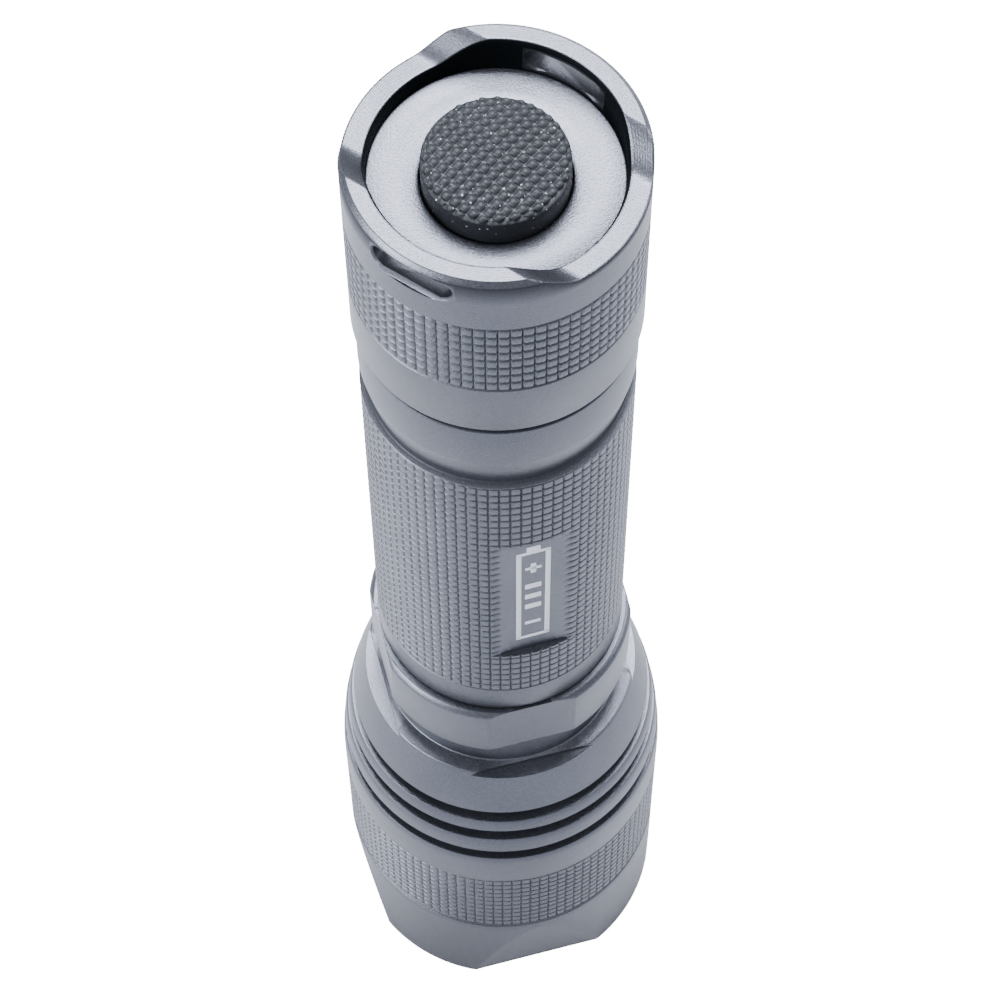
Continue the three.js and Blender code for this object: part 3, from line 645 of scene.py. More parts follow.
def crown_height(r, azimuth):
    """Height of the rim: flat along the channel, then an S-shaped ramp up to the crest."""
    across = np.abs(r * np.sin(azimuth - CHANNEL))
    share = np.clip((across - CHANNEL_FLAT) / (CHANNEL_WIDE - CHANNEL_FLAT), 0, 1)
    return RIM_Z + (CREST_Z - RIM_Z) * smooth(share * RAMP_SHARE) / smooth(RAMP_SHARE)


def crease_angles(r):
    """Angles from the channel's middle line where a circle of radius r crosses the four creases."""
    flat, wide = math.asin(CHANNEL_FLAT / r), math.asin(CHANNEL_WIDE / r)
    half = np.array([0, flat, wide, math.pi / 2, math.pi - wide, math.pi - flat])
    return np.concatenate([half, half + math.pi, [TURN]])


CAP_PADS = 78
cap_azimuths = knurl_azimuths(CAP_PADS)
order = np.argsort((cap_azimuths - CHANNEL) % TURN)
columns_sorted = np.arange(len(cap_azimuths))
crease_columns = np.round(np.interp(crease_angles(CAP_RADIUS), (cap_azimuths[order] - CHANNEL) % TURN,
                                    columns_sorted))
crease_columns[-1] = len(cap_azimuths)


def crown_azimuths(r):
    """The cap's mesh lines at radius r, shifted so that one follows each crease."""
    shifted = np.empty(len(cap_azimuths))
    shifted[order] = CHANNEL + np.interp(columns_sorted, crease_columns, crease_angles(r))
    return shifted


print("crown: floor", round(CROWN_FLOOR, 2), "rims", round(RIM_Z, 2), "crests", round(CREST_Z, 2))

# %% Tail cap surface
CAP_BORE, POCKET, POCKET_Z = 12.7, 10.5, 150.9
CAP_KNURL, CAP_ROWS = (147.0, 158.0), 8
CAP_SHARP = 38
outside = [(CAP_RADIUS - 0.25, cap_low[2]), (CAP_RADIUS - 0.07, cap_low[2] + 0.07),
           (CAP_RADIUS, cap_low[2] + 0.25)]
outside += [(CAP_RADIUS, z) for z in knurl_heights(*CAP_KNURL, CAP_ROWS)]
outside += list(stretch((CAP_RADIUS, CROWN_FLOOR - 2.4), (CAP_RADIUS, RIM_Z - 0.4), 7))
r, z, azimuth = sheet_of(outside, cap_azimuths)
cap_groove, cap_dirt_and_shade = knurl(z, azimuth, *CAP_KNURL, CAP_ROWS, CAP_PADS)
r -= KNURL_DEPTH * cap_groove

# The end is turned first, with a chamfer on its outer edge, and the channel comes after: the height
# is the lower of the channel and the chamfer, less the break of each edge. The inner edge is broken
# by a steeper cut that belongs to the dark wall. Each step is how far inwards it is, and its break.
CREST_CHAMFER = 0.52
rim_steps = np.array([(0, 0.14), (0.03, 0.05), (0.1, 0), (0.3, 0), (0.45, 0), (CREST_CHAMFER, 0), (0.6, 0),
                      (1.0, 0), (1.5, 0), (1.9, 0), (2.05, 0), (2.12, 0.03), (2.16, 0.1), (2.4, 0.6)])
rim_r = CAP_RADIUS - rim_steps[:, :1]
rim_azimuth = np.array([crown_azimuths(CAP_RADIUS - inwards) for inwards, _ in rim_steps])
outer_chamfer = CREST_Z - np.maximum(rim_r - CAP_RADIUS + CREST_CHAMFER, 0)
rim_z = np.minimum(crown_height(rim_r, rim_azimuth), outer_chamfer) - rim_steps[:, 1:]
rim_r = np.broadcast_to(rim_r, rim_z.shape)

# Inside, from the dark wall down: the crown's floor, the boot's hole, the switch's pocket, the bore.
BOOT_HOLE, FLOOR_BELOW = 7.15, CROWN_FLOOR - 2.2
inside = [(CROWN_BORE, CROWN_FLOOR + 0.2), (CROWN_BORE - 0.06, CROWN_FLOOR + 0.06),
          (CROWN_BORE - 0.2, CROWN_FLOOR), (9.6, CROWN_FLOOR), (BOOT_HOLE + 0.4, CROWN_FLOOR),
          (BOOT_HOLE + 0.1, CROWN_FLOOR - 0.1), (BOOT_HOLE, CROWN_FLOOR - 0.35), (BOOT_HOLE, FLOOR_BELOW),
          (POCKET, FLOOR_BELOW), (POCKET, POCKET_Z), (CAP_BORE, POCKET_Z), (CAP_BORE, cap_low[2] + 0.3),
          (CAP_BORE + 0.3, cap_low[2])]
inner_r, inner_z, inner_azimuth = sheet_of(inside, crown_azimuths(CROWN_BORE))
cap_grid = around(np.vstack([r, rim_r, inner_r]), np.vstack([z, rim_z, inner_z]),
                  np.vstack([azimuth, rim_azimuth, inner_azimuth]))

# The knurling is darkened for dirt and painted shade, and the lower edge, the rim's outer edge and
# the inner edge of the chamfer on the crests are darkened as painted shade. Turning lines are on the
# rim, and the wall painted almost black as shade joins the rim to the floor.
rim_start, rim_end = len(r), len(r) + len(rim_r)
chamfer_row = list(rim_steps[:, 0]).index(CREST_CHAMFER)
shade_and_dirt, lathed, dark = np.zeros((3,) + cap_grid.shape[:2])
shade_and_dirt[:rim_start] = cap_dirt_and_shade
shade_and_dirt[:2] = 0.9
shade_and_dirt[rim_start:rim_start + 2] = 1.0
shade_and_dirt[rim_start + chamfer_row] = rim_z[chamfer_row] > CREST_Z - 0.5
lathed[rim_start + 2:rim_start + 11] = 1
dark[rim_end - 2:rim_end + 2] = 1
cap = surface("tail_cap_shell", cap_grid, masks={"groove": shade_and_dirt, "turned": lathed, "painted_shade_wall": dark},
              sharp=CAP_SHARP)
print("tail cap:", len(cap.data.polygons), "faces before the slots")

# %% [markdown]
# ## The lanyard slots
# A slot with round ends is milled through each crest. The cutter here is a stack of slot outlines
# that follow the round wall, wider where they meet its surfaces, so the slot gets an even chamfer.

# %% Lanyard slots
SLOT_LENGTH, SLOT_HEIGHT = 8.6, 2.6
SLOT_Z = CROWN_FLOOR + 2.0
# The slot's inside is darkened by this share: painted shade.
SLOT_PAINTED_SHADE = 0.6


def slot_cutter(middle):
    """A closed cutter: points of a stadium outline, at distances from the axis that follow the
    wall. A point at sideways distance s lies sqrt(r^2 - s^2) along the slot's middle line. Each
    layer is a distance from the axis, and how much wider than the slot it is."""
    turn = even(40)
    straight = (SLOT_LENGTH - SLOT_HEIGHT) / 2
    layers = [(16.0, 0.45), (14.62, 0.45), (14.28, 0.0), (12.32, 0.0), (12.0, 0.3), (10.9, 0.3)]
    rows = []
    for distance, wider in [(16.0, None)] + layers + [(10.9, None)]:
        scale = 0.0 if wider is None else 1.0
        radius = SLOT_HEIGHT / 2 + (wider or 0)
        side = scale * (np.sign(np.cos(turn)) * straight + radius * np.cos(turn))
        height = SLOT_Z + scale * radius * np.sin(turn)
        along = np.sqrt(distance ** 2 - side ** 2)
        rows.append(np.stack([np.sin(middle) * along + np.cos(middle) * side,
                              -np.cos(middle) * along + np.sin(middle) * side, height], axis=-1))
    return surface("slot_cutter", np.array(rows), closed_rows=False, masks={"groove": SLOT_PAINTED_SHADE})


def carve(target, cutters, sharp=SHARP_ANGLE):
    """Subtract closed cutters from a closed mesh, and keep the result as the target's own mesh."""
    for cutter in cutters:
        step = target.modifiers.new("cut", "BOOLEAN")
        step.operation, step.solver, step.object = "DIFFERENCE", "EXACT", cutter
    bpy.context.view_layer.update()
    graph = bpy.context.evaluated_depsgraph_get()
    carved = bpy.data.meshes.new_from_object(target.evaluated_get(graph))
    target.modifiers.clear()
    target.data = carved
    target.data.set_sharp_from_angle(angle=math.radians(sharp))
    for cutter in cutters:
        bpy.data.objects.remove(cutter)


carve(cap, [slot_cutter(CHANNEL + math.pi / 2), slot_cutter(CHANNEL - math.pi / 2)], CAP_SHARP)
fit(cap, "tail_cap", "anodised_aluminium")
print("tail cap:", len(cap.data.polygons), "faces")

# %% [markdown]
# ## The rubber boot
# The switch is pressed through a moulded silicone boot. Its top carries a square grid of little
# pillow-shaped pads, which run on over the round shoulder. The boot is one closed skin: the pads are
# a height field that pushes the surface in along its normal, and below them the skin goes on down the
# wall, round the flange, and back up inside to the post that meets the plunger.

# %% Boot pads
boot_low, boot_high = box_mm("switch_boot")
BOOT_RADIUS, BOOT_TOP = 7.0, boot_high[2]
PAD_PITCH, PAD_DEPTH = 1.063, 0.40
PAD_TURN, PAD_SHIFT = math.radians(51.5), 0.31
SHOULDER, DOME = 0.7, 0.5


def pad_field(x, y):
    """Height of the pads, 0 in the grooves and 1 on a pad's middle: in each direction the height
    is 1 - (2u)^2.6, where u is the distance from the middle in pitches, and the two are multiplied."""
    u = (x * math.cos(PAD_TURN) + y * math.sin(PAD_TURN) - PAD_SHIFT) / PAD_PITCH
    v = (-x * math.sin(PAD_TURN) + y * math.cos(PAD_TURN)) / PAD_PITCH
    u, v = (np.abs((part + 0.5) % 1 - 0.5) for part in (u, v))
    return (1 - (2 * u) ** 2.6) * (1 - (2 * v) ** 2.6)


# %% Boot surface
# The section's top is a shallow dome, a rounded shoulder and the wall, each with its normals.
DOME_ROWS, WALL_ROWS, BOOT_COLUMNS = 90, 6, 560
flat = BOOT_RADIUS - SHOULDER
dome_edge = BOOT_TOP - DOME
shoulder_z = dome_edge - SHOULDER
dome_r = flat * np.linspace(0, 1, DOME_ROWS)
dome = np.stack([dome_r, dome_edge + DOME * (1 - (dome_r / flat) ** 2)], axis=-1)
dome_normal = np.stack([2 * DOME * dome_r / flat ** 2, np.ones(DOME_ROWS)], axis=-1)
dome_normal /= np.linalg.norm(dome_normal, axis=1, keepdims=True)
bend = np.linspace(math.pi / 2, 0, 15)[1:]
bend_normal = np.stack([np.cos(bend), np.sin(bend)], axis=-1)
bend_points = (flat, shoulder_z) + SHOULDER * bend_normal
wall = stretch((BOOT_RADIUS, shoulder_z - 0.08), (BOOT_RADIUS, boot_low[2] + 1.5), WALL_ROWS)
wall_normal = np.tile([1.0, 0.0], (WALL_ROWS, 1))

# Below the wall come the flange, the hollow under the top, and the post in its middle.
FLANGE_RADIUS, HOLLOW_RADIUS, POST_RADIUS = 10.2, 5.7, 2.2
FLANGE_TOP, POST_END = boot_low[2] + 1, BOOT_TOP - 3.9
skirt = rounded([(BOOT_RADIUS, FLANGE_TOP + 0.4), (BOOT_RADIUS, FLANGE_TOP), (FLANGE_RADIUS, FLANGE_TOP),
                 (FLANGE_RADIUS, boot_low[2]), (HOLLOW_RADIUS, boot_low[2]), (HOLLOW_RADIUS, BOOT_TOP - 2.5),
                 (5.0, BOOT_TOP - 1.8), (POST_RADIUS, BOOT_TOP - 1.3), (POST_RADIUS, POST_END),
                 (1.0, POST_END)], 0.25)
skirt = np.vstack([skirt[2:-2], [(0.0, POST_END)]])
section = np.vstack([dome, bend_points, wall, skirt])
normal = np.vstack([dome_normal, bend_normal, wall_normal, np.zeros((len(skirt), 2))])[::-1]
r, z, azimuth = sheet_of(section[::-1], even(BOOT_COLUMNS))
x, y = r * np.sin(azimuth), -r * np.cos(azimuth)
fade = smooth((z - (shoulder_z - 0.05)) / 0.3)
sunk = (1 - pad_field(x, y)) * fade * PAD_DEPTH * (np.linalg.norm(normal, axis=1, keepdims=True) > 0)
sunk[-1] = sunk[-1, 0]
boot_grid = around(r - sunk * normal[:, :1], z - sunk * normal[:, 1:], azimuth)
boot_grid[-1] = boot_grid[-1, 0]
film_mask = smooth((sunk / PAD_DEPTH - 0.8) / 0.2)
boot = surface("switch_boot_skin", boot_grid, closed_rows=False, masks={"groove": film_mask}, sharp=60)
boot.data.materials.append(materials["black_rubber"])
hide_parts("switch_boot")
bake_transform(boot)
print("boot:", len(boot.data.polygons), "faces")

# %% [markdown]
# ## The barrel
# The barrel is the grip and the cell's housing: a tube with a threaded end at each side, a plain
# neck ring, 35 rows of knurling and one milled flat for a mark. The knurling is as on the cap, but
# with two mesh lines fewer for each pad, since there are nearly three thousand pads.

# %% Barrel surface
barrel_low, barrel_high = box_mm("barrel")
BARREL_RADIUS, BARREL_BORE, THREAD_ROOT, LAND = 14.1, 10.8, 12.02, 12.4
SEAL_ROOT, NECK_GROOVE, JOINT_RECESS = 11.7, 13.4, 13.5
FRONT, REAR = box_mm("head_body")[1][2] + 0.3, cap_low[2] - 0.3
BARREL_KNURL, BARREL_ROWS, BARREL_PADS = (FRONT + 4.8, REAR - 12.65), 35, 78
COARSE_LINES = np.array([0.0, 0.14, 0.5, 0.86])
LABEL_LOW, LABEL_HIGH = BARREL_KNURL[0] + 8.9, BARREL_KNURL[0] + 34.9
LABEL_AZIMUTH, LABEL_DISTANCE = math.radians(15.5), 13.3
below = rounded([(THREAD_ROOT - 3, barrel_low[2]), (THREAD_ROOT, barrel_low[2]), (THREAD_ROOT, FRONT - 3.8),
                 (LAND, FRONT - 3.5), (LAND, FRONT - 2.6), (SEAL_ROOT, FRONT - 2.6),
                 (SEAL_ROOT, FRONT - 1.2), (LAND, FRONT - 1.2), (LAND, FRONT), (BARREL_RADIUS, FRONT),
                 (BARREL_RADIUS, FRONT + 4)], 0.3)[4:-4]
grip = knurl_heights(*BARREL_KNURL, BARREL_ROWS, COARSE_LINES)[1:-1]
label_rows = np.array([LABEL_LOW, LABEL_LOW + 0.02, LABEL_HIGH - 0.02, LABEL_HIGH])
grip = np.stack([np.full(len(grip) + 4, BARREL_RADIUS), np.sort(np.concatenate([grip, label_rows]))], axis=-1)
NECK = BARREL_KNURL[1]
above = rounded([(BARREL_RADIUS, NECK), (BARREL_RADIUS, NECK + 0.35), (NECK_GROOVE, NECK + 0.6),
                 (NECK_GROOVE, NECK + 1.5), (BARREL_RADIUS, NECK + 5.3), (BARREL_RADIUS, REAR - 0.9),
                 (JOINT_RECESS, REAR - 0.75), (JOINT_RECESS, REAR), (LAND, REAR), (LAND, REAR + 1.2),
                 (SEAL_ROOT, REAR + 1.2), (SEAL_ROOT, REAR + 2.6), (LAND, REAR + 2.6), (LAND, REAR + 3.4),
                 (THREAD_ROOT, REAR + 3.7), (THREAD_ROOT, barrel_high[2]), (BARREL_BORE, barrel_high[2]),
                 (BARREL_BORE, barrel_low[2]), (THREAD_ROOT - 0.6, barrel_low[2])], 0.22)[4:]
r, z, azimuth = sheet_of(np.vstack([below, grip, above]), knurl_azimuths(BARREL_PADS, COARSE_LINES))
skin = r > BARREL_RADIUS - 0.1
# The knurling's grooves are darkened for dirt and painted shade.
pads, knurl_dirt_and_shade = (part * skin for part in knurl(z, azimuth, *BARREL_KNURL, BARREL_ROWS, BARREL_PADS))
knurled_r = r - KNURL_DEPTH * pads
in_label = (z > LABEL_LOW + 0.01) & (z < LABEL_HIGH - 0.01) & skin
flat_r = flattened(knurled_r, azimuth, LABEL_DISTANCE, LABEL_AZIMUTH)
milled = in_label & (flat_r < knurled_r - 1e-9)

# The groove below the neck ring and the recess at the cap's joint are darkened too: painted shadow under the
# ring and painted shade under the cap.
undercut = (z > NECK + 0.3) & (z < NECK + 1.7) & (r > 13) & (r < 13.9)
recess = np.maximum((z > REAR - 0.95) & (z < REAR + 0.1) & (r > 13), 0.75 * undercut)
barrel = surface("barrel_tube", around(np.where(in_label, flat_r, knurled_r), z, azimuth),
                 masks={"groove": np.maximum(np.where(milled, 0, 0.8 * knurl_dirt_and_shade), recess)}, sharp=40)
fit(barrel, "barrel", "anodised_aluminium")
print("barrel:", len(barrel.data.polygons), "faces")

# %% [markdown]
# ## Threads
# A thread is a ridge that winds round the threaded end. It is easiest to make as it is described: a
# small trapezoid carried along a helix and lowered into the surface at both ends.

# %% Thread ridges
THREAD_PITCH = 1.25
THREAD_CREST = 12.46


def thread(name, node, root, crest, low, high):
    """A trapezoid ridge along a helix: height = low + pitch * turns, radius eased to the root at
    both ends over a sixth of a turn. The ridge's foot is sunk a little into the surface."""
    turns = (high - low) / THREAD_PITCH
    along = np.linspace(0, turns, int(turns * 64))[:, None]
    ease = smooth(np.minimum(along, turns - along) * 6)
    corners = np.array([(root - 0.15, -0.46), (crest, -0.13), (crest, 0.13), (root - 0.15, 0.46)])
    r = root - 0.15 + (corners[:, 0] - root + 0.15) * ease
    z = low + THREAD_PITCH * along + corners[:, 1] * ease
    ridge = surface(name, around(r, z, along * TURN), closed_rows=False)
    fit(ridge, node, "anodised_aluminium", extra=True)


thread("barrel_front_thread", "barrel", THREAD_ROOT, THREAD_CREST, barrel_low[2] + 0.9, FRONT - 4.2)
thread("barrel_rear_thread", "barrel", THREAD_ROOT, THREAD_CREST, REAR + 4.2, barrel_high[2] - 0.9)

# %% [markdown]
# ## The mark on the flat
# A laser whitens the anodic layer. The mark is a plain picture of which way the cell goes in: a
# cell's outline with its plus and minus ends, made of thin bars that stand a hair off the flat.

# %% Etched cell mark
def outline_of(width, depth, corner, per_corner=6):
    """A rounded rectangle: the middle of each corner's circle plus the circle's radius, and the
    outward direction at each point."""
    turn = np.linspace(0, math.pi / 2, per_corner)[None, :] + np.arange(4)[:, None] * math.pi / 2
    outward = np.stack([np.cos(turn), np.sin(turn)], axis=-1)
    sign = np.array([(1, 1), (-1, 1), (-1, -1), (1, -1)])[:, None, :]
    middle = sign * (np.array([width, depth]) / 2 - corner)
    return (middle + corner * outward).reshape(-1, 2), outward.reshape(-1, 2)


def stack_points(outline, outward, layers, centre=(0, 0)):
    """Layers of one outline, each [height, inset], closed to a point at both ends."""
    heights = np.array([layers[0][0]] + [h for h, _ in layers] + [layers[-1][0]])
    insets = np.array([0] + [i for _, i in layers] + [0])
    flat = outline[None] - outward[None] * insets[:, None, None] + np.array(centre)
    flat[0] = flat[-1] = np.array(centre)
    return np.concatenate([flat, np.broadcast_to(heights[:, None, None], flat.shape[:2] + (1,))], axis=-1)


def rounded_layers(low, high, radius):
    """Layers from low to high whose edges are rounded in three steps."""
    ease = radius * np.array([1, 0.3, 0])
    return ([(low + radius - radius * s, e) for s, e in zip((1, 0.7, 0), ease)] +
            [(high - radius + radius * s, e) for s, e in zip((0, 0.7, 1), ease[::-1])])


def on_flat(points, azimuth, distance):
    """Points (sideways, up, out) moved onto a flat that faces an azimuth."""
    sideways, up, out = points[..., 0], points[..., 1], points[..., 2] + distance
    return np.stack([out * math.sin(azimuth) + sideways * math.cos(azimuth),
                     -out * math.cos(azimuth) + sideways * math.sin(azimuth), up], axis=-1)


def joined(name, objects):
    """Several objects made into one."""
    whole = objects[0]
    with bpy.context.temp_override(active_object=whole, selected_editable_objects=objects):
        bpy.ops.object.join()
    whole.name = name
    return whole


# Each bar: its middle, sideways and up from the flat's middle, then its width and height.
middle_z = (LABEL_LOW + LABEL_HIGH) / 2
cell_outline = [(-1.6, 0, 0.55, 20), (1.6, 0, 0.55, 20), (0, -10, 3.75, 0.6), (0, 10, 3.75, 0.6),
                (0, 10.8, 1.5, 1.1)]
plus_and_minus = [(0, 6.4, 1.8, 0.6), (0, 6.4, 0.6, 2.2), (0, -6.6, 1.8, 0.7)]
charge = [(0, up, 1.8, 1.1) for up in (2.2, -0.2, -2.6)]
marks = []
for number, (side, up, width, height) in enumerate(cell_outline + plus_and_minus + charge):
    outline, outward = outline_of(width, height, 0.12, 4)
    points = stack_points(outline, outward, [(-0.1, 0), (0.012, 0), (0.02, 0.02)], (side, middle_z + up))
    marks.append(surface(f"bar_{number}", on_flat(points, LABEL_AZIMUTH, LABEL_DISTANCE), closed_rows=False))
fit(joined("cell_mark", marks), "barrel", "anodised_aluminium", extra=True, color="etched_mark")

# %% [markdown]
# ## The head
# The head holds the optics and carries the heat away. From the bottom it has a threaded spigot, a
# knurled band, a flare with three cooling grooves, a narrow waist and a collar with four flats.

# %% Head outline
head_low, head_high = box_mm("head_body")
HEAD_RADIUS = 19.65
FLARE_TOP, WAIST_TOP = head_high[2] - 14.8, head_high[2] - 9.4
FLARE_LOW, FLARE_SHOULDER = 35.0, 15.9
FIN_HEIGHTS, FIN_WIDTH, FIN_DEPTH = (40.2, 45.1, 49.1), 2.0, 1.5
HEAD_KNURL, HEAD_ROWS, HEAD_PADS = (18.1, 33.2), 11, 105
SPIGOT_RADIUS = 16.15


def flare(z):
    """Radius of the flare: a quarter of a parabola from the neck's shoulder down to the head."""
    share = np.clip((FLARE_TOP - z) / (FLARE_TOP - FLARE_LOW), 0, 1)
    return FLARE_SHOULDER + (HEAD_RADIUS - FLARE_SHOULDER) * (1 - (1 - share) ** 2)


def fin(low):
    """A cooling groove's corners, from its lower edge to its upper edge, with eased edges."""
    high = low + FIN_WIDTH
    floor = flare(high) - FIN_DEPTH
    return [(flare(low) - 0.03, low - 0.15), (flare(low) - 0.15, low), (floor + 0.15, low + 0.02),
            (floor, low + 0.2), (floor, high - 0.2), (floor + 0.15, high - 0.02),
            (flare(high) - 0.15, high), (flare(high) - 0.03, high + 0.15)]


flare_rows = [(flare(z), z) for z in np.arange(36, 58, 1.0)
              if all(not low - 0.4 < z < low + FIN_WIDTH + 0.4 for low in FIN_HEIGHTS)]
flare_rows = sorted(flare_rows + [p for low in FIN_HEIGHTS for p in fin(low)], key=lambda p: p[1])

# %% Head surface
COLLAR_DISTANCE = 14.3
COLLAR_FLATS = [math.radians(14.5 + 90 * step) for step in range(4)]
flat_start = FLARE_TOP - 0.6
head_spigot = rounded([(14, head_low[2]), (SPIGOT_RADIUS, head_low[2]), (SPIGOT_RADIUS, 15.4), (16.6, 15.7),
                       (16.6, 17.7), (HEAD_RADIUS, 17.7), (HEAD_RADIUS, 20)], 0.25)[4:-4]
head_band = [(HEAD_RADIUS, z) for z in knurl_heights(*HEAD_KNURL, HEAD_ROWS, COARSE_LINES)[1:-1]]
head_band.append((HEAD_RADIUS, FLARE_LOW))
head_neck = [(flare(flat_start - 0.01), flat_start - 0.01), (flare(flat_start), flat_start)] + list(rounded(
    [(FLARE_SHOULDER + 0.2, FLARE_TOP - 0.5), (FLARE_SHOULDER, FLARE_TOP), (14.0, FLARE_TOP + 0.15),
     (14.0, WAIST_TOP - 0.2), (15.2, WAIST_TOP + 0.1), (15.2, head_high[2] - 0.6),
     (14.7, head_high[2]), (12.7, head_high[2]), (12.7, 56.9),
     (11.9, 56.9), (11.9, 38.0), (10.4, 38.0), (10.4, 36.5), (15.4, 14.2), (15.4, head_low[2])], 0.22)[4:])
section = np.vstack([head_spigot, head_band, flare_rows, head_neck])
r, z, azimuth = sheet_of(section, knurl_azimuths(HEAD_PADS, COARSE_LINES))
outside = r > 16.9
# The knurling's grooves are darkened for dirt and painted shade.
pads, knurl_dirt_and_shade = (part * outside for part in knurl(z, azimuth, *HEAD_KNURL, HEAD_ROWS, HEAD_PADS))
r = r - HEAD_KNURL_DEPTH * pads
for middle in COLLAR_FLATS:
    on_collar = (z > flat_start - 0.005) & (r > 13.8)
    r = np.where(on_collar, flattened(r, azimuth, COLLAR_DISTANCE, middle), r)
head = surface("head_shell", around(r, z, azimuth), masks={"groove": 0.8 * knurl_dirt_and_shade}, sharp=38)
fit(head, "head_body", "anodised_aluminium")
thread("head_thread", "head_body", SPIGOT_RADIUS, 16.62, head_low[2] + 0.8, 14.8)
print("head:", len(head.data.polygons), "faces")

# %% [markdown]
# ## The bezel
# The bezel holds the lens. Its four flats lean in towards the rest face, so each one is a plane that
# cuts the cylinder in a tall arch. Rows of the mesh are close together there to draw the arch well.

# %% Bezel surface
BEZEL_HEIGHT = box_mm("bezel_ring")[1][2]
FLAT_DEPTH, FLAT_HEIGHT = 1.9, 15.5
BEZEL_BORE, LENS_SEAT = 16.9, 2.4
side = [(HEAD_RADIUS, z) for z in np.linspace(0.6, FLAT_HEIGHT + 0.3, 46)]
section = np.vstack([
    [(HEAD_RADIUS - 0.42, 0), (HEAD_RADIUS - 0.2, 0.08), (HEAD_RADIUS - 0.05, 0.26)], side,
    rounded([(HEAD_RADIUS, 16), (HEAD_RADIUS, BEZEL_HEIGHT), (BEZEL_BORE, BEZEL_HEIGHT),
             (BEZEL_BORE, LENS_SEAT), (14.6, LENS_SEAT), (16.0, 0.4), (16.4, 0.0), (17.5, 0.0)], 0.2)[4:-4]])
r, z, azimuth = sheet_of(section, even(384))

# A flat's distance from the axis grows with height. The rounded bottom edge keeps its own inset.
leaning = HEAD_RADIUS - FLAT_DEPTH + FLAT_DEPTH / FLAT_HEIGHT * z
for middle in COLLAR_FLATS:
    facing = np.cos(azimuth - middle)
    plane = np.where(facing > 0.5, leaning / np.maximum(facing, 0.5), np.inf)
    inset = (HEAD_RADIUS - np.minimum(r, HEAD_RADIUS)) * (z < 0.5)
    r = np.where(r > 17, np.minimum(r, plane - inset), r)
bezel = surface("bezel_shell", around(r, z, azimuth), sharp=38)
fit(bezel, "bezel_ring", "anodised_aluminium")
print("bezel:", len(bezel.data.polygons), "faces")

# %% [markdown]
# ## Lens, seal and reflector
# The lens is a flat disc of toughened glass on a rubber ring. Behind it the reflector is a parabola,
# with its small hole round the emitter: z = vertex - r * r / (4 * focal length).

# %% Optics
def seal(node):
    """A rubber ring of round section that fills a node's box."""
    low, high = box_mm(node)
    thick = (high[2] - low[2]) / 2
    turn = even(20)
    ring_section = np.stack([high[0] - thick + thick * np.cos(turn),
                             (low[2] + high[2]) / 2 + thick * np.sin(turn)], axis=-1)
    return fit(turned(node + "_body", ring_section, 128), node, "black_rubber")


disc_part("lens", "lens_glass", 0.25, 128)
for node in ("lens_gasket", "head_oring", "tail_oring"):
    seal(node)
cup_low, cup_high = box_mm("reflector")
MOUTH, HOLE, DEPTH = 14.4, 4.2, 30.5
focal = MOUTH ** 2 / (4 * DEPTH)
curve_r = np.linspace(HOLE, MOUTH, 60)
curve_z = cup_low[2] + DEPTH - curve_r ** 2 / (4 * focal)
bowl = np.stack([curve_r, curve_z], axis=-1)
WALL = 1.0
outer_wall = bowl[8:-6:3][::-1] + [WALL, 0]
rim = rounded([(14.6, cup_low[2]), (15.1, cup_low[2]), (15.1, cup_low[2] + 1.2), (14.6, cup_low[2] + 1.7)],
              EDGE)[4:]
back = [(5.0, cup_high[2] - 0.02), (4.9, cup_high[2]), (HOLE + 0.1, cup_high[2])]
section = np.vstack([rim, outer_wall, back, bowl[:-1], [(MOUTH, cup_low[2] + 0.05)]])
fit(turned("reflector_cup", section, 144), "reflector", "reflector_coating")
print("optics done")

# %% [markdown]
# ## The light engine
# A brass carrier screws into the neck and takes the heat. The emitter sits on its front, on a white
# board with two solder pads, and a plastic spacer centres the reflector on it.

# %% Emitter, board and spacer
def box_part(node, slot, radius, corner):
    """A rounded block that fills a node's box: radius rounds its top and bottom edges, corner its
    upright ones."""
    low, high = box_mm(node)
    outline, outward = outline_of(high[0] - low[0], high[1] - low[1], corner)
    points = stack_points(outline, outward, rounded_layers(low[2], high[2], radius), (low[:2] + high[:2]) / 2)
    return fit(surface(node + "_body", points, closed_rows=False), node, slot)


def small_block(name, node, slot, size, centre, heights, radius, corner, color):
    """A rounded block as an extra detail that rides with a node."""
    outline, outward = outline_of(*size, corner)
    points = stack_points(outline, outward, rounded_layers(*heights, radius), centre)
    return fit(surface(name, points, closed_rows=False), node, slot, extra=True, color=color)


disc_part("led_board", "white_plastic", 0.12)
box_part("led_emitter", "phosphor", 0.1, 0.15)
board_low = box_mm("led_board")[0]
for name, side in (("pad_plus", 1), ("pad_minus", -1)):
    small_block(name, "led_board", "white_plastic", (1.9, 2.6), (side * 5.1, 0),
                (board_low[2] - 0.04, board_low[2] + 0.1), 0.02, 0.3, "copper_pad")
DOME_RADIUS = 2.2
dome_top = box_mm("led_dome")[1][2]
swing = np.linspace(0, math.pi / 2, 20)
half_circle = np.stack([DOME_RADIUS * np.sin(swing), dome_top - DOME_RADIUS * np.cos(swing)], axis=-1)
dome_section = np.vstack([half_circle, [(0, dome_top)]])
fit(turned("led_dome_body", dome_section, 64, closed=False), "led_dome", "dome_silicone")

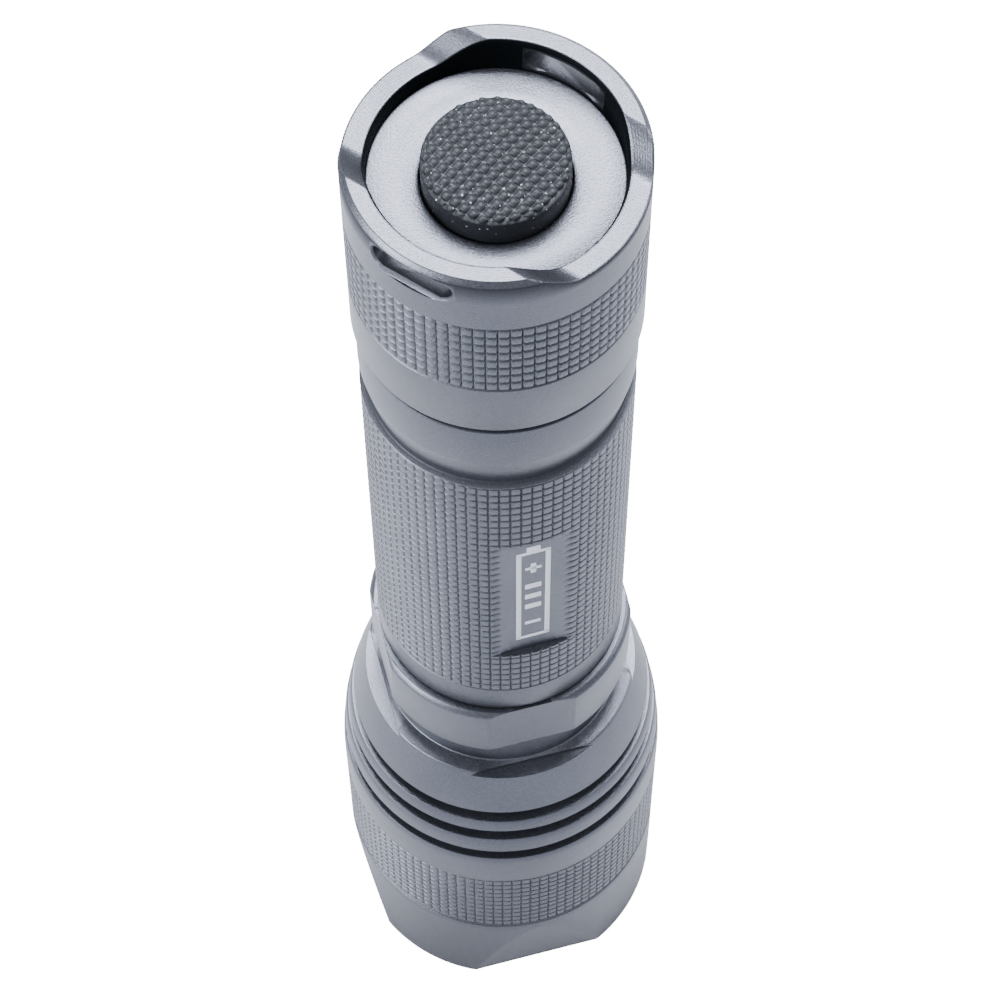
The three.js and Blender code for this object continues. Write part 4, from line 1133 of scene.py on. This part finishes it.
# %% Spacer
# A round disc with a square window: its outline morphs from the circle to the square.
spacer_low, spacer_high = box_mm("centring_gasket")
turn = even(96, 0.5)
circle = np.stack([np.cos(turn), np.sin(turn)], axis=-1)
square = circle / np.maximum(np.abs(circle[:, :1]), np.abs(circle[:, 1:]))
rings = [(circle * 4.9, 0), (circle * 5.0, 0.12), (circle * 5.0, 0.88), (circle * 4.9, 1), (square * 2.9, 1),
         (square * 2.8, 0.9), (square * 2.8, 0.1), (square * 2.9, 0)]
thickness = spacer_high[2] - spacer_low[2]
spacer = np.array([np.column_stack([ring, np.full(len(turn), spacer_low[2] + up * thickness)])
                   for ring, up in rings])
fit(surface("centring_gasket_body", spacer), "centring_gasket", "white_plastic")

# %% Carrier
# A cup open to the rear, with a countersunk hole for each lead through its end wall. The section and
# the drill are [r, height above the carrier's front].
LEAD_ACROSS = 8.3
pill_front = box_mm("led_pill")[0][2]
cup = [(0, 0), (0.5, 0), (11.4, 0), (11.55, 0.05), (11.6, 0.2), (11.6, 18.1), (11.55, 18.25), (11.4, 18.3),
       (10.25, 18.3), (10.1, 18.15), (10.1, 14.2), (9.3, 14.2), (9.3, 3.2), (9.1, 3.0), (0.5, 3.0), (0, 3.0)]
drill = [(0, -1), (1.3, -1), (1.05, 0.1), (0.9, 0.25), (0.9, 2.75), (1.05, 2.9), (1.3, 4), (0, 4)]
pill = turned("led_pill_shell", [(r, pill_front + up) for r, up in cup], closed=False)
turn = even(24)
drills = [surface("drill", np.array([np.column_stack([
    side * LEAD_ACROSS + r * np.cos(turn), r * np.sin(turn), np.full(len(turn), pill_front + up)])
    for r, up in drill]), closed_rows=False) for side in (1, -1)]
carve(pill, drills)
fit(pill, "led_pill", "brass")

# %% [markdown]
# ## Wires and springs
# A wire is a circle carried along a path. At each point the circle lies across the path: one of its
# directions is a given side direction made square to the path, the other is the cross product.

# %% Swept wires
END_STEP = 0.02
WIRE_SIDES = 12


def swept(name, path, side, radius):
    """A round wire along a path (n, 3), with flat ends closed to a point."""
    path, side = np.asarray(path, float), np.asarray(side, float)
    along = np.gradient(path, axis=0)
    along /= np.linalg.norm(along, axis=1, keepdims=True)
    side = side - along * np.sum(side * along, axis=1, keepdims=True)
    side /= np.linalg.norm(side, axis=1, keepdims=True)
    other = np.cross(along, side)
    path = np.vstack([path[:1], path[:1] + along[:1] * END_STEP, path[1:-1],
                      path[-1:] - along[-1:] * END_STEP, path[-1:]])
    side, other = (np.vstack([part[:1], part, part[-1:]]) for part in (side, other))
    size = np.concatenate([[0], np.full(len(path) - 2, radius), [0]])[:, None, None]
    turn = even(WIRE_SIDES)[None, :, None]
    grid = path[:, None] + size * (np.cos(turn) * side[:, None] + np.sin(turn) * other[:, None])
    return surface(name, grid, closed_rows=False, sharp=80)


def coil(node, start_radius, end_radius, wire, turns):
    """A spring of wire whose ends lie flat: the height runs slowly over the first and last turn."""
    low, high = box_mm(node)
    share = np.linspace(0, 1, int(turns * 40))
    angle = share * turns * TURN
    climb = np.interp(share * turns, [0, 0.9, turns - 0.9, turns], [0, 0.055, 0.945, 1])
    radius = start_radius + (end_radius - start_radius) * share
    height = low[2] + wire / 2 + (high[2] - low[2] - wire) * climb
    path = np.stack([radius * np.cos(angle), radius * np.sin(angle), height], axis=-1)
    side = np.stack([np.cos(angle), np.sin(angle), 0 * angle], axis=-1)
    return fit(swept(node + "_coil", path, side, wire / 2), node, "spring_metal")


coil("tail_spring", 3.2, 5.0, 0.9, 6.5)
coil("driver_spring", 2.6, 1.8, 0.8, 3.5)


def eased_path(points, count):
    """A smooth path through points: a Catmull-Rom curve, where each stretch between two points is
    shaped by their neighbours."""
    points = np.asarray(points, float)
    padded = np.vstack([2 * points[0] - points[1], points, 2 * points[-1] - points[-2]])
    t = np.linspace(0, len(points) - 1 - 1e-9, count)
    i = t.astype(int)
    f = (t - i)[:, None]
    a, b, c, d = padded[i], padded[i + 1], padded[i + 2], padded[i + 3]
    return 0.5 * (2 * b + (c - a) * f + (2 * a - 5 * b + 4 * c - d) * f ** 2
                  + (3 * b - a - 3 * c + d) * f ** 3)


# Each lead starts above its pad, goes through its hole in the carrier, and ends at the driver board.
LEAD_RADIUS, LEAD_POINTS = 0.45, 72
cavity_z, driver_z = pill_front + 3, box_mm("driver_board")[0][2]
pad_z = board_low[2] - 0.85
route = [(5.9, pad_z), (7.1, pad_z - 0.2), (8.1, pad_z + 0.5), (LEAD_ACROSS, pill_front),
         (LEAD_ACROSS, cavity_z), (8.2, cavity_z + 2), (7.3, driver_z - 4), (6.3, driver_z - 2),
         (6.3, driver_z - 0.3)]
for node, slot, side in (("lead_positive", "red_insulation", 1), ("lead_negative", "black_plastic", -1)):
    path = eased_path([(side * across, 0, up) for across, up in route], LEAD_POINTS)
    fit(swept(node + "_wire", path, np.tile([0.0, 1.0, 0.0], (LEAD_POINTS, 1)), LEAD_RADIUS), node, slot)
print("light engine done")

# %% [markdown]
# ## The driver
# A small round circuit board regulates the current. Its parts hang in the carrier's hollow, and a
# slotted brass ring clamps it from behind.

# %% Driver board and parts
disc_part("driver_board", "circuit_board", 0.08)
box_part("driver_chip", "black_plastic", 0.12, 0.12)
box_part("driver_capacitor", "ceramic", 0.1, 0.15)
box_part("driver_inductor", "black_plastic", 0.35, 0.7)
chip_low, chip_high = box_mm("driver_chip")
for number, up in enumerate(np.linspace(chip_low[1] + 0.6, chip_high[1] - 0.6, 4)):
    for edge_name, across in (("left", chip_low[0] - 0.3), ("right", chip_high[0] + 0.3)):
        small_block(f"chip_leg_{edge_name}_{number}", "driver_chip", "black_plastic", (0.7, 0.42),
                    (across, up), (driver_z - 0.4, driver_z - 0.12), 0.05, 0.06, "nickel_steel")


RING_SLOT_WIDTH, RING_SLOT_DEPTH = 1.8, 0.8


def slotted_ring(node, bore, slot_z, name):
    """A lock ring with a slot straight across one face, for a pin spanner."""
    body = turned(name, rounded(ring_corners(node, bore), EDGE))
    layers = [(slot_z - RING_SLOT_DEPTH, 0), (slot_z + RING_SLOT_DEPTH, 0)]
    cutter = stack_points(*outline_of(40, RING_SLOT_WIDTH, 0.2, 3), layers)
    carve(body, [surface("slot", cutter, closed_rows=False)])
    return fit(body, node, "brass")


slotted_ring("driver_ring", 8.0, box_mm("driver_ring")[1][2], "driver_lock_ring")
slotted_ring("switch_ring", 10.0, box_mm("switch_ring")[0][2], "switch_lock_ring")

# %% [markdown]
# ## The cell and its sleeve
# A steel can holds a tight roll of foils, its button end faces the driver, and a thin printed film is
# shrunk round it. A plastic sleeve fills the barrel round the cell.

# %% Cell
CAN_BORE, CAN_RADIUS = 8.55, 8.95
(_, _, can_low), (_, _, can_high) = box_mm("cell_can")
can_rows = [(0, can_high), (8.5, can_high), (8.8, can_high - 0.12), (CAN_RADIUS, can_high - 0.5),
            (CAN_RADIUS, can_low + 0.1), (8.85, can_low), (8.65, can_low), (CAN_BORE, can_low + 0.1),
            (CAN_BORE, can_high - 0.7), (8.3, can_high - 0.4), (0, can_high - 0.4)]
fit(turned("cell_can_shell", can_rows, closed=False), "cell_can", "nickel_steel")
disc_part("cell_core", "electrode_roll", 0.4)
disc_part("cell_cap", "nickel_steel", 0.3)
disc_part("cell_button", "nickel_steel", 0.45)

# %% Wrap and sleeve
# The wrap's print is two stripes, 5 mm from the ends, and a plus sign near the button end.
WRAP_RADIUS = 9.2
(_, _, wrap_low), (_, _, wrap_high) = box_mm("cell_wrap")
film = [(WRAP_RADIUS, height) for height in np.linspace(wrap_low + 0.1, wrap_high - 0.1, 90)]
inner_film = [(9.02, wrap_high), (9.0, wrap_high - 0.2), (9.0, wrap_low + 0.2), (9.02, wrap_low)]
wrap_rows = [(9.15, wrap_low)] + film + [(9.15, wrap_high)] + inner_film
r, z, azimuth = sheet_of(wrap_rows, even(120))
stripe = (np.abs(z - wrap_low - 5) < 0.8) | (np.abs(z - wrap_high + 5) < 0.8)
sideways, up = np.abs((azimuth - math.pi) * WRAP_RADIUS), np.abs(z - wrap_low - 12)
plus = (np.maximum(sideways, up) < 3) & (np.minimum(sideways, up) < 0.7)
wrap = surface("cell_wrap_film", around(r, z, azimuth), masks={"print": (stripe | plus) * 1.0})
fit(wrap, "cell_wrap", "cell_wrap")
turned_part("adapter_sleeve", "white_plastic", ring_corners("adapter_sleeve", 9.5), 0.3, 128)

# %% [markdown]
# ## The switch
# The boot presses a red plunger into the switch's body, which sits on its own board. The spring under
# the board presses on the cell, and a slotted ring clamps it all in the cap.

# %% Switch
turned_part("boot_washer", "white_plastic", ring_corners("boot_washer", 5.9), 0.12)
disc_part("switch_board", "circuit_board", 0.08, 128)
disc_part("switch_plunger", "red_plastic", 0.3, 64)

# The housing guides the plunger. Its floor is just below where the plunger ends when fully pressed.
HOUSE_RADIUS, GUIDE_RADIUS, TAB_ACROSS = 5.6, 2.3, 8.2
PRESSED_GAP = 0.1
press = frame["record"]["behaviour"]["joints"][-1]["range_m"][1] / MM
guide_floor = box_mm("switch_plunger")[0][2] - press - PRESSED_GAP
(_, _, house_low), (_, _, house_high) = box_mm("switch_housing")
house_rows = [(0, house_low), (5.3, house_low), (HOUSE_RADIUS, house_low + 0.3),
              (HOUSE_RADIUS, house_high - 0.5), (5.45, house_high - 0.15), (5.1, house_high),
              (2.6, house_high), (GUIDE_RADIUS, house_high - 0.25), (GUIDE_RADIUS, guide_floor),
              (0, guide_floor)]
fit(turned("switch_housing_shell", house_rows, closed=False), "switch_housing", "black_plastic")
for number, turn in enumerate(even(4, 0.5)):
    small_block(f"switch_tab_{number}", "switch_board", "circuit_board", (1.2, 1.2),
                (TAB_ACROSS * math.sin(turn), TAB_ACROSS * math.cos(turn)),
                (house_low - 0.34, house_low + 0.05), 0.1, 0.3, "copper_pad")
shown = [name for name, node in frame["nodes"].items() if not node.hide_render]
print("frame nodes still shown:", shown)

# %% [markdown]
# ## Floor
# The light stands on a plain pale grey sheet of one even colour, larger than the view from any
# side. The camera sees it glow white, while the metal mirrors only its own pale grey. The sheet lies
# a hair below the rest face, so that the two don't fight over the same plane.

# %% Floor
FLOOR_SEEN, FLOOR_LIT = 16.0, 0.0
FLOOR_HALF, FLOOR_Z = 3000, -0.02
tree, shader, *_ = finish("paper", (0.42, 0.43, 0.46), (0.46, 0.47, 0.50), (0.6, 0.7), grain=900.0,
                          patches=6.0)
shader.inputs["Emission Color"].default_value = (1, 1, 1, 1)
seen_brighter(tree, shader.inputs["Emission Strength"], FLOOR_SEEN, FLOOR_LIT)
floor_corners = [(x * FLOOR_HALF, y * FLOOR_HALF, FLOOR_Z) for x, y in ((-1, -1), (1, -1), (1, 1), (-1, 1))]
floor = add_mesh("floor", floor_corners, [0, 1, 2, 3], [4])
floor.data.materials.append(materials["paper"])
